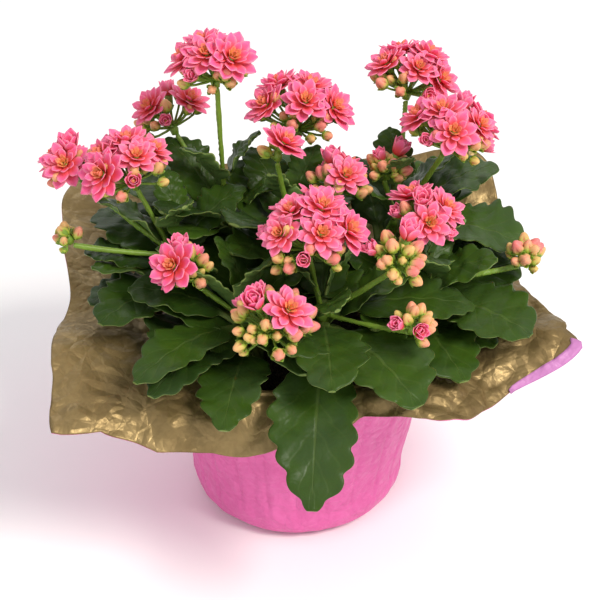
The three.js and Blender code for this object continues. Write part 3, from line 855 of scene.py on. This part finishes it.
def bud_shape():
    """A closed bud along +Z from its foot: four petals wrapped to a blunt twisted point."""
    length, width = sizes().bud_length, sizes().bud_width
    deselect_all()
    bpy.ops.mesh.primitive_uv_sphere_add(segments=16, ring_count=9, radius=0.5)
    bud = name_new("bud")
    bpy.ops.transform.resize(value=(width, width, length))
    bpy.ops.object.transform_apply(location=False, rotation=False, scale=True)
    seam_share = {}
    for vertex in bud.data.vertices:
        up = clamp(vertex.co.z / length + 0.5)
        around = math.atan2(vertex.co.y, vertex.co.x)
        groove = abs(math.sin(2 * around + 1.3 * up))
        swell = 1.05 - 0.16 * up ** 2 - 0.32 * (1 - min(1, groove * 1.6)) * math.sin(math.pi * up)
        vertex.co.x *= swell
        vertex.co.y *= swell
        vertex.co.z += length / 2 + 0.12 * length * up ** 6
        seam_share[vertex.index] = (groove, up)
    uv = bud.data.uv_layers[0].data
    for loop in bud.data.loops:
        uv[loop.index].uv = seam_share[loop.vertex_index]
    return read_shape(bud)


def tube_shape(path, radii, sides=6):
    """A closed tube of changing radius along a list of points."""
    rings, faces = [], []
    for k, (point, radius) in enumerate(zip(path, radii)):
        ahead = path[min(k + 1, len(path) - 1)] - path[max(k - 1, 0)]
        turn = UP.rotation_difference(ahead.normalized())
        rings += [tuple(point + turn @ direction_at(2 * math.pi * i / sides) * radius)
                  for i in range(sides)]
    for k in range(len(path) - 1):
        for i in range(sides):
            j = (i + 1) % sides
            faces += [k * sides + i, k * sides + j, (k + 1) * sides + j, (k + 1) * sides + i]
    last = (len(path) - 1) * sides
    faces += [*reversed(range(sides)), *range(last, last + sides)]
    totals = [4] * last + [sides, sides]
    return {"co": np.array(rings), "loops": np.array(faces, dtype=np.int32),
            "totals": np.array(totals, dtype=np.int32),
            "sides": np.zeros(len(totals), dtype=np.int32), "uv": np.zeros((len(faces), 2))}


def head_directions(open_count, buds, turn):
    """Where a head's flowers sit: directions on a dome about +Z, the open ones in the middle."""
    count = open_count + buds
    for i in range(count):
        polar = HEAD_SPREAD * math.sqrt((i + 0.5) / count)
        yield i < open_count, direction_at(math.radians(turn) + i * GOLDEN, polar)


def head_layout(name):
    """A head's hub, the turn that faces it outwards, and its flowers' directions."""
    radius, open_count, buds, turn, _ = HEADS[name]
    radius *= MM
    low, high = (Vector(corner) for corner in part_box(f"flower_head_{name}"))
    middle = (low + high) / 2
    items = list(head_directions(open_count, buds, turn))
    hub = middle.copy()
    for _ in range(3):
        centre = hub + 0.6 * radius * UP
        axis = Vector((centre.x * HEAD_LEAN, centre.y * HEAD_LEAN, 1)).normalized()
        face = UP.rotation_difference(axis)
        reach_low, reach_high = Vector((-HUB_R,) * 3), Vector((HUB_R,) * 3)
        for is_open, direction in items:
            facing = face @ direction
            place = facing * radius
            for k in range(3):
                flat = math.sqrt(max(0, 1 - facing[k] ** 2))
                size = FRAME_BLOOM_R * 0.93 * flat + FRAME_BLOOM_DEPTH / 2 * abs(facing[k]) \
                    if is_open else FRAME_BUD_R * 0.9
                reach_low[k] = min(reach_low[k], place[k] - size)
                reach_high[k] = max(reach_high[k], place[k] + size)
        hub = middle - (reach_low + reach_high) / 2
    return hub, face, radius, items


def flower_parts(petal, place, facing, spin, scale, whorls, tone):
    """The petals of one flower, open or half open."""
    parts = []
    turn = UP.rotation_difference(facing).to_matrix().to_4x4()
    base = Matrix.Translation(place) @ turn @ Matrix.Rotation(spin, 4, "Z")
    for k, (count, tilt, share, out, height, inner) in enumerate(whorls):
        for j in range(count):
            jitter = wave(spin * 7 + j, k) - 0.5
            around = 2 * math.pi * (j + 0.5 * (k % 2) + 0.25 * jitter) / count
            lean = math.radians(tilt + 14 * jitter + 8 * (wave(spin, 3) - 0.3))
            size = scale * share * (1 + 0.16 * jitter)
            matrix = (base @ Matrix.Rotation(around, 4, "Z")
                      @ Matrix.Translation((0, out * scale * MM, height * scale * MM))
                      @ Matrix.Rotation(lean, 4, "X") @ Matrix.Scale(size, 4))
            parts.append((petal, placed(petal, matrix), {"tone": tone, "whorl": inner}))
    return parts


def bud_parts(bud, sepal, foot, facing, size, luck):
    """One bud and the four green sepals that hold it."""
    turn = Matrix.Translation(foot) @ UP.rotation_difference(facing).to_matrix().to_4x4()
    ripe = clamp((size - 0.5) * 1.6) * (0.35 + 0.65 * luck)
    whole = turn @ Matrix.Rotation(luck * 9, 4, "Z") @ Matrix.Scale(size, 4)
    sepals = []
    for j in range(4):
        leaf = (turn @ Matrix.Rotation(j * math.pi / 2 + luck, 4, "Z")
                @ Matrix.Translation((0, 0.9 * size * MM, 0.1 * MM))
                @ Matrix.Rotation(math.radians(50), 4, "X") @ Matrix.Scale(0.42 * size, 4))
        sepals.append((sepal, placed(sepal, leaf), {"tone": 0.6}))
    return [(bud, placed(bud, whole), {"tone": ripe})], sepals


def tube_part(path, radii, sides, tone):
    tube = tube_shape(path, radii, sides)
    return tube, tube["co"], {"tone": tone}


def stalk_to(hub, foot, slim):
    """A thin stalk that bows from a head's hub to a flower's foot."""
    bow = hub.lerp(foot, 0.55) - UP * 0.9 * MM
    path = [hub, hub.lerp(bow, 0.6), bow.lerp(foot, 0.5), foot]
    return tube_part(path, [slim * 1.15, slim, slim * 0.9, slim * 1.05], 6, 0.5)


def make_flower_head(number, name, petal, bud, sepal):
    """One head: its open and half-open flowers, its buds, and the stalks that carry them."""
    slim = sizes().pedicel_width / 2
    radius_mm, open_count, _, turned, half_open = HEADS[name]
    hub, face, radius, items = head_layout(name)
    out = face @ UP
    petals, buds = [], []
    stalks = [tube_part([hub - out * 3.4 * MM, hub - out * MM, hub + out * MM],
                        [1.5 * MM, 2.0 * MM, 1.1 * MM], 8, 0.3)]

    def add_bud(foot, facing, size, luck, thin=0.85):
        stalks.append(stalk_to(hub, foot, slim * thin))
        body, sepals = bud_parts(bud, sepal, foot, facing, size, luck)
        buds.extend(body)
        stalks.extend(sepals)

    def add_open_flower(place, facing, luck, whorls):
        foot = place - facing * 5 * MM
        cup = [foot + facing * height * MM for height in (-0.3, 1.6, 5.4)]
        stalks.append(stalk_to(hub, foot, slim))
        stalks.append(tube_part(cup, [slim, slim * 2.2, slim * 2.8], 8, 0.8))
        petals.extend(flower_parts(petal, place, facing, luck * 6.28, 0.82 + 0.22 * luck, whorls,
                                   luck))

    def add_bud_group(place, facing, side, luck, i):
        for k, (apart, size) in enumerate(BUD_GROUP):
            if k == len(BUD_GROUP) - 1 and luck < 0.3:
                continue
            turn = luck * 40 + k * 2.1
            swing = side * math.cos(turn) + side.cross(facing) * math.sin(turn)
            foot = place + swing * apart * MM - facing * (3.2 + 0.9 * k) * MM
            scale = size * (0.88 + 0.22 * wave(i, number, k))
            add_bud(foot, (facing + swing * 0.25).normalized(), scale, wave(luck, k))

    for i, (is_open, direction) in enumerate(items):
        luck = wave(number + 1, i + 1)
        facing = (face @ direction + Vector((0, -0.12, 0.2))).normalized()
        place = hub + face @ direction * radius * (0.92 + 0.16 * luck)
        if is_open:
            add_open_flower(place + UP * 0.8 * MM, facing, luck,
                            HALF_OPEN_WHORLS if i < half_open else OPEN_WHORLS)
        elif luck > 0.72 and radius_mm > 6:
            # A bud that has just begun to open.
            foot = place - facing * 4.4 * MM
            petals += flower_parts(petal, foot + facing * 1.8 * MM, facing, luck * 6.28, 0.68,
                                   HALF_OPEN_WHORLS, luck * 0.3)
            add_bud(foot, facing, 0.66, luck, 1.0)
        else:
            add_bud_group(place, facing, (face @ direction).cross(UP).normalized(), luck, i)
    # Smaller buds fill the gaps between the open flowers and hang out below them.
    small = round(radius_mm * 0.7) if open_count > 1 else 0
    for k in range(small):
        luck = wave(number + 40, k)
        polar = HEAD_SPREAD * (0.35 + 0.65 * (k + 0.5) / small)
        direction = face @ direction_at(math.radians(turned + 61) + k * GOLDEN, polar)
        foot = hub + direction * (radius * (0.7 + 0.16 * luck) + MM) - UP * 1.5 * MM
        add_bud(foot, (direction + UP * 0.35).normalized(), 0.7 + 0.3 * luck, wave(luck, 5), 0.8)
    node = f"flower_head_{name}"
    if petals:
        finish_piece(build_piece(f"petals_{name}", petals, ("tone", "whorl")), "petal",
                     [made_once(petal_material)], node)
    finish_piece(build_piece(f"buds_{name}", buds), "bud", [made_once(bud_material)], node)
    finish_piece(build_piece(f"pedicels_{name}", stalks), "stem", [made_once(stem_material)], node)


def make_flower_heads():
    petal, bud, sepal = petal_shape(), bud_shape(), petal_shape()
    for number, name in enumerate(HEADS):
        make_flower_head(number, name, petal, bud, sepal)


# ---- Pot cover ------------------------------------------------------------------------------

COVER_TURNS = 336
COVER_STEPS = 9                 # fine rows between two of the frame's rows
FOLD_FROM, FOLD_TO = 329, 342   # azimuths between which the edge is folded over
FOLD_WIDTH = 4.6 * MM
FOLD_LIFTS = (0.3, 0.9, 1.2, 1.4, 1.5)      # the strip's height over the skirt, in mm, from its edge in
COVER_COLUMNS = 48              # azimuths of the frame's cover
COVER_PLEATS = 24
LONG_FOLDS = math.radians(310)  # the way the left half's folds run


def cover_rows():
    """The cover's middle surface as the frame has it: an array of azimuths x rows x 3."""
    points = node_points("pot_cover")
    points = points[np.hypot(points[:, 0], points[:, 1]) > 0.01]
    azimuth = np.degrees(np.arctan2(points[:, 1], points[:, 0])) % 360
    column = np.round(azimuth / 360 * COVER_COLUMNS).astype(int) % COVER_COLUMNS
    table = []
    for i in range(COVER_COLUMNS):
        mine = points[column == i]
        # Up the cup the order follows the height as well, because its pleats cross the wall.
        order = np.hypot(mine[:, 0], mine[:, 1]) + 0.2 * np.minimum(mine[:, 2], RIM_Z)
        mine = mine[np.argsort(order)]
        table.append((mine[0::2] + mine[1::2]) / 2)
    return np.array(table)


def smooth_between(table, axis, steps, closed):
    """Extra samples between a table's points, on Catmull-Rom curves along one axis."""
    table = np.moveaxis(table, axis, 0)
    count = len(table)
    out = []
    for i in range(count if closed else count - 1):
        around = [(i + k) % count if closed else min(max(i + k, 0), count - 1)
                  for k in (-1, 0, 1, 2)]
        before, left, right, after = (table[k] for k in around)
        for s in range(steps):
            t = s / steps
            out.append(0.5 * (2 * left + (right - before) * t
                              + (2 * before - 5 * left + 4 * right - after) * t ** 2
                              + (3 * left - before - 3 * right + after) * t ** 3))
    if not closed:
        out.append(table[-1])
    return np.moveaxis(np.array(out), 0, axis)


def ridged(place, scale, seed):
    """Sharp-ridged noise from 0 to 1, like the folds of a crumpled sheet."""
    point = Vector(place) / scale + Vector((seed, seed * 2, 0))
    return 1 - abs(noise.noise(point)) * 2


# How far the sheet's cut edge stands out from the frame's, in mm, at each of its corners and dips.
EDGE_TRIM = (
    (0, -1), (20, -4), (35, -6), (42, 0), (145, 1), (190, 0), (197, -2), (208, -1), (216, -4),
    (222, -1), (226, -15), (237, -1), (247, -5), (262, 1), (283, -1), (290, -7), (298, 0), (305, 8),
    (311, 6), (319, 0), (330, -3), (341, 0), (345, -7), (353, 0), (360, -1))


def trim_edge(table, rim_row, rim_r):
    """Stretches or shrinks the skirt so that its edge runs where the sheet was cut."""
    turns, rows = table.shape[:2]
    azimuths, changes = zip(*EDGE_TRIM)
    for i in range(turns):
        change = float(np.interp(360 * i / turns, azimuths, changes)) * MM
        reach = np.hypot(*table[i, rows - 1, :2]) - rim_r
        for j in range(rim_row, rows):
            radius = np.hypot(*table[i, j, :2])
            table[i, j, :2] *= 1 + change / reach * max(0, radius - rim_r) / radius


def facet(place, size, seed):
    """Height of flat facets that meet in sharp valleys, in metres for a slope of one."""
    distances, points = noise.voronoi(Vector(place) / size + Vector((seed, 0, 0)))
    apart = (points[1] - points[0]).length
    return (distances[1] ** 2 - distances[0] ** 2) / (2 * apart) * size


def straight_folds(place):
    """Long straight creases that cross each other, each fading in and out, in metres."""
    height = 0.0
    for k, length in enumerate((48, 35, 27, 21, 16, 12, 9, 7)):
        heading = Vector((math.cos(k * 1.9 + 0.4), math.sin(k * 1.9 + 0.4), 0.3))
        warp = noise.noise(Vector(place) / (70 * MM) + Vector((k * 3.1, 0, 0))) * 0.7
        through = (Vector(place).dot(heading) / (length * MM) + warp + k * 0.37) % 1
        fade = noise.noise(Vector(place) / (24 * MM) + Vector((0, k * 5.3, 7)))
        height += 0.13 * length * MM * clamp(fade * 3 + 0.35) * (abs(through - 0.5) * 2 - 0.5)
    return height


def crumple(place, rim_r):
    """How far the foil is pushed up at a point: facets and crossing creases across the skirt."""
    crease = sizes().foil_crease
    radius = math.hypot(place[0], place[1])
    skirt = clamp((radius - rim_r) / (12 * MM))
    ring = direction_at(math.atan2(place[1], place[0])) * 75 * MM
    gathers = ridged(ring + Vector((0, 0, radius * 0.3)), 14 * MM, 3) - 0.5
    gathers *= max(0, 1 - (radius - rim_r) / (30 * MM))
    # The left half lies smoother, in long folds that run from its edge to the front.
    left = clamp(-place[0] / (25 * MM))
    run = direction_at(LONG_FOLDS)
    point = Vector(place)
    point -= run * point.dot(run) * 0.6 * left
    facets = 0.22 * (facet(point, 30 * MM, 3) - 7 * MM) + 0.2 * facet(point, 14 * MM, 8)
    facets += 0.4 * straight_folds(point)
    cup = (1 - skirt) * (ridged(place, 24 * MM, 12) * 0.12 + ridged(place, 10 * MM, 15) * 0.06)
    return skirt * facets * (1.1 - 0.6 * left) * crease / (3 * MM) \
        + crease * (skirt * 0.35 * gathers + cup)


def make_cover():
    """The formed foil sheet, with a strip of its edge folded over at the right-hand corner."""
    table = smooth_between(cover_rows(), 0, COVER_TURNS // COVER_COLUMNS, True)
    table = smooth_between(table, 1, COVER_STEPS, False)
    turns, rows = table.shape[:2]
    rim_row = int(np.argmin(np.abs(table[0, :, 2] - RIM_Z)))
    rim_r = float(np.hypot(*table[0, rim_row, :2]))
    trim_edge(table, rim_row, rim_r)
    tangent_round = np.roll(table, -1, axis=0) - np.roll(table, 1, axis=0)
    tangent_out = np.gradient(table, axis=1)
    normal = np.cross(tangent_round, tangent_out)
    normal /= np.linalg.norm(normal, axis=2)[..., None]
    for i in range(turns):
        pleat = abs(math.sin(math.pi * COVER_PLEATS * i / turns))
        for j in range(rows):
            place = table[i, j].copy()
            up_cup = clamp((place[2] - 6 * MM) / (14 * MM))
            cup = 1 if j < rim_row else max(0, 1 - (j - rim_row) / 12)
            calm = 1 - 0.5 * max(0, 1 - (rows - 1 - j) / 5)
            push = crumple(place, rim_r) * min(1, j / 8) * calm
            inset = cup * up_cup * sizes().pleat_depth * (1 - pleat) ** 1.5 * 2.0
            table[i, j] = place - normal[i, j] * (push + inset)
    mesh_cover(table)
    fold_edge(table)


def sheet_piece(name, points, faces, materials, *nodes, **thickening):
    """A piece of foil: a surface through points, thickened to a sheet with its materials."""
    mesh = bpy.data.meshes.new(name)
    mesh.from_pydata([tuple(point) for point in points], [], faces)
    sheet = link_object(name, mesh)
    for _ in materials:
        mesh.materials.append(None)
    apply_modifier(sheet, "SOLIDIFY", thickness=sizes().foil_thickness, **thickening)
    bpy.ops.object.shade_smooth()
    finish_piece(sheet, "cover_foil", materials, *nodes)


def mesh_cover(table):
    """Closes the sheet: a base disc, a pink outside and a gold inside."""
    turns, rows = table.shape[:2]
    centre = np.array([[0, 0, table[:, 0, 2].mean()]])
    faces = []
    for i in range(turns):
        n = (i + 1) % turns
        faces.append((n * rows, i * rows, turns * rows))
        for j in range(rows - 1):
            faces.append((i * rows + j, n * rows + j, n * rows + j + 1, i * rows + j + 1))
    # Each foil's third colour is the painted highlight along its creases, and its last number how
    # strongly it is laid on.
    pink = made_once(foil_material, "foil_pink_satin", colour("foil_pink"), srgb("#cf5c9b"),
                     srgb("#efa5cb"), 0.4, 0.0, 0.1)
    gold = made_once(foil_material, "foil_gold_metallised", colour("foil_gold"),
                     srgb("#69552f"), srgb("#d2c5a4"), 0.38, 0.5, 0.25)
    sheet_piece("foil_cover", np.concatenate([table.reshape(-1, 3), centre]), faces, [pink, gold],
                "pot_cover", offset=-1, material_offset=1, material_offset_rim=0)


def fold_edge(table):
    """The strip of edge that is folded back over the skirt, so its pink outside shows."""
    turns, rows = table.shape[:2]
    first, last = FOLD_FROM * turns // 360, FOLD_TO * turns // 360
    wide = len(FOLD_LIFTS)
    points = []
    for i in range(first, last + 1):
        share = (i - first) / (last - first)
        width = FOLD_WIDTH * (0.25 + 0.75 * min(1, share * 2))
        edge, inner = table[i, rows - 1], table[i, rows - 14]
        inward = (inner - edge) / np.linalg.norm(inner - edge)
        for k, lift in enumerate(FOLD_LIFTS):
            points.append(edge + inward * (width * k / (wide - 1) - 0.8 * MM)
                          + np.array([0, 0, lift * MM]))
    faces = [(i * wide + k, i * wide + k + 1, (i + 1) * wide + k + 1, (i + 1) * wide + k)
             for i in range(last - first) for k in range(wide - 1)]
    # The strip's third colour is the painted highlight along its creases.
    folded = made_once(foil_material, "foil_pink_folded", srgb("#c583bb"), srgb("#b871ae"),
                       srgb("#d9a5d2"), 0.4, 0.0, 0.2)
    sheet_piece("foil_fold", points, faces, [folded], offset=0)


# ---- Pot and soil ---------------------------------------------------------------------------

def make_pot():
    """The nursery pot keeps the frame's shape and gets its moulded plastic."""
    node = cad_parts["nursery_pot"]
    node.data.materials.clear()
    node.data.materials.append(made_once(pot_material))


SOIL_CRUMBS = 160
SOIL_R = 50 * MM


def make_soil():
    """Loose crumbly soil: the frame's solid remeshed, roughened on top, with crumbs lying on it."""
    soil = copy_node("soil", "potting_soil")
    apply_modifier(soil, "REMESH", mode="VOXEL", voxel_size=1.6 * MM, use_smooth_shade=True)
    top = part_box("soil")[1][2]
    for vertex in soil.data.vertices:
        if vertex.co.z > top - 8 * MM:
            lump = noise.noise(vertex.co / (7 * MM)) + 0.6 * noise.noise(vertex.co / (2.5 * MM))
            vertex.co.z += lump * 1.3 * MM
    finish_piece(soil, "soil", [made_once(soil_material)], "soil")
    bpy.ops.mesh.primitive_ico_sphere_add(subdivisions=1, radius=1, calc_uvs=False)
    crumb = read_shape(name_new("crumb"))
    parts = []
    for i in range(SOIL_CRUMBS):
        radius = SOIL_R * math.sqrt((i + 0.5) / SOIL_CRUMBS)
        size = (0.7 + 1.3 * wave(i, 3)) * MM
        # The soil's top falls away in a shallow dome.
        drop = 4 * MM * (1 - math.cos(math.pi / 2 * radius / (57 * MM)))
        place = direction_at(i * GOLDEN) * radius + UP * (top - drop)
        matrix = (Matrix.Translation(place) @ Matrix.Rotation(i * 1.7, 4, (1, wave(i, 1), 0.4))
                  @ Matrix.Diagonal((size, size * 0.8, size * 0.6, 1)))
        parts.append((crumb, placed(crumb, matrix), {"tone": wave(i, 2)}))
    finish_piece(build_piece("soil_crumbs", parts), "soil", [made_once(soil_material)])


# ---- Stage ----------------------------------------------------------------------------------

CAMERA_TARGET = Vector((0.0013, 0, 0.094))
CAMERA_DISTANCE = 0.6
CAMERA_ELEVATION = math.radians(32)
CAMERA_LENS = 85.7
LIGHTS_MEET = Vector((0, 0, 0.1))
# Each light: its name, place and width in metres, power in watts and tint.
LIGHTS = (("key_light", (0.75, -0.75, 1.25), 0.6, 20, "#fffaf2"),
          ("fill_light", (-1.1, -0.9, 0.6), 1.2, 1, "#f2f6ff"),
          ("back_light", (-0.3, 1.2, 1.1), 1.0, 3, "#ffffff"))


def aim(piece, target):
    """Turns a camera or light at the origin of its -Z axis towards a point."""
    piece.rotation_euler = (target - piece.location).to_track_quat("-Z", "Y").to_euler()


def add_area_light(name, place, size, power, tint):
    light = bpy.data.lights.new(name, "AREA")
    light.shape = "DISK"
    light.size = size
    light.energy = power
    light.color = srgb(tint)[:3]
    lamp = link_object(name, light)
    lamp.location = place
    aim(lamp, LIGHTS_MEET)


def make_stage():
    deselect_all()
    bpy.ops.mesh.primitive_grid_add(x_subdivisions=8, y_subdivisions=8, size=8,
                                    location=(0, 0, -0.3 * MM))
    floor = name_new("studio_floor")
    bpy.ops.object.transform_apply(location=True, rotation=False, scale=True)
    floor.data.materials.append(made_once(floor_material))
    for light in LIGHTS:
        add_area_light(*light)
    scene = bpy.context.scene
    world = bpy.data.worlds.new("studio_world")
    world.use_nodes = True
    backdrop = world.node_tree.nodes["Background"]
    backdrop.inputs["Color"].default_value = srgb("#ffffff")
    backdrop.inputs["Strength"].default_value = 0.72
    scene.world = world
    scene.view_settings.view_transform = "Standard"
    camera = link_object("camera", bpy.data.cameras.new("camera"))
    camera.data.lens = CAMERA_LENS
    camera.data.sensor_width = 36
    back = Vector((0, -math.cos(CAMERA_ELEVATION), math.sin(CAMERA_ELEVATION)))
    camera.location = CAMERA_TARGET + back * CAMERA_DISTANCE
    aim(camera, CAMERA_TARGET)
    scene.camera = camera


# ---- Operators ------------------------------------------------------------------------------

class KALANCHOE_OT_cover(bpy.types.Operator):
    """Make the crumpled foil pot cover"""
    bl_idname = "kalanchoe.cover"
    bl_label = "Foil Cover"

    def execute(self, context):
        make_cover()
        return {"FINISHED"}


class KALANCHOE_OT_pot(bpy.types.Operator):
    """Give the nursery pot its plastic"""
    bl_idname = "kalanchoe.pot"
    bl_label = "Nursery Pot"

    def execute(self, context):
        make_pot()
        return {"FINISHED"}


class KALANCHOE_OT_soil(bpy.types.Operator):
    """Make the potting soil and its crumbs"""
    bl_idname = "kalanchoe.soil"
    bl_label = "Soil"

    def execute(self, context):
        make_soil()
        return {"FINISHED"}


class KALANCHOE_OT_stems(bpy.types.Operator):
    """Make the stems and flower stalks"""
    bl_idname = "kalanchoe.stems"
    bl_label = "Stems"

    def execute(self, context):
        make_stems()
        return {"FINISHED"}


class KALANCHOE_OT_leaves(bpy.types.Operator):
    """Make a scalloped leaf for each leaf of the frame"""
    bl_idname = "kalanchoe.leaves"
    bl_label = "Leaves"

    def execute(self, context):
        make_leaves()
        return {"FINISHED"}


class KALANCHOE_OT_inner_leaves(bpy.types.Operator):
    """Make the inner leaves that crowd round the stems"""
    bl_idname = "kalanchoe.inner_leaves"
    bl_label = "Inner Leaves"

    def execute(self, context):
        make_young_leaves()
        return {"FINISHED"}


class KALANCHOE_OT_flowers(bpy.types.Operator):
    """Make the flower heads: petals, buds and pedicels"""
    bl_idname = "kalanchoe.flowers"
    bl_label = "Flower Heads"

    def execute(self, context):
        make_flower_heads()
        return {"FINISHED"}


class KALANCHOE_OT_stage(bpy.types.Operator):
    """Make the floor, the lights and the camera"""
    bl_idname = "kalanchoe.stage"
    bl_label = "Stage"

    def execute(self, context):
        make_stage()
        return {"FINISHED"}


STEPS = (KALANCHOE_OT_stage, KALANCHOE_OT_cover, KALANCHOE_OT_pot, KALANCHOE_OT_soil,
         KALANCHOE_OT_stems, KALANCHOE_OT_leaves, KALANCHOE_OT_inner_leaves,
         KALANCHOE_OT_flowers)


class KALANCHOE_PT_panel(bpy.types.Panel):
    """Lists the plant's settings and the steps that build it"""
    bl_idname = "KALANCHOE_PT_panel"
    bl_label = "Potted Kalanchoe"
    bl_space_type = "VIEW_3D"
    bl_region_type = "UI"
    bl_category = "Kalanchoe"

    def draw(self, context):
        for settings in (context.scene.kalanchoe_sizes, context.scene.kalanchoe_colours):
            box = self.layout.box()
            for name in settings.bl_rna.properties.keys():
                if name not in ("rna_type", "name"):
                    box.prop(settings, name)
        for step in STEPS:
            self.layout.operator(step.bl_idname)


CLASSES = (KalanchoeSizes, KalanchoeColours, *STEPS, KALANCHOE_PT_panel)


def register():
    for cls in CLASSES:
        bpy.utils.register_class(cls)
    bpy.types.Scene.kalanchoe_sizes = bpy.props.PointerProperty(type=KalanchoeSizes)
    bpy.types.Scene.kalanchoe_colours = bpy.props.PointerProperty(type=KalanchoeColours)


def unregister():
    del bpy.types.Scene.kalanchoe_colours
    del bpy.types.Scene.kalanchoe_sizes
    for cls in reversed(CLASSES):
        bpy.utils.unregister_class(cls)


def main():
    register()
    for step in STEPS:
        group, name = step.bl_idname.split(".")
        getattr(getattr(bpy.ops, group), name)()


if __name__ == "__main__":
    main()
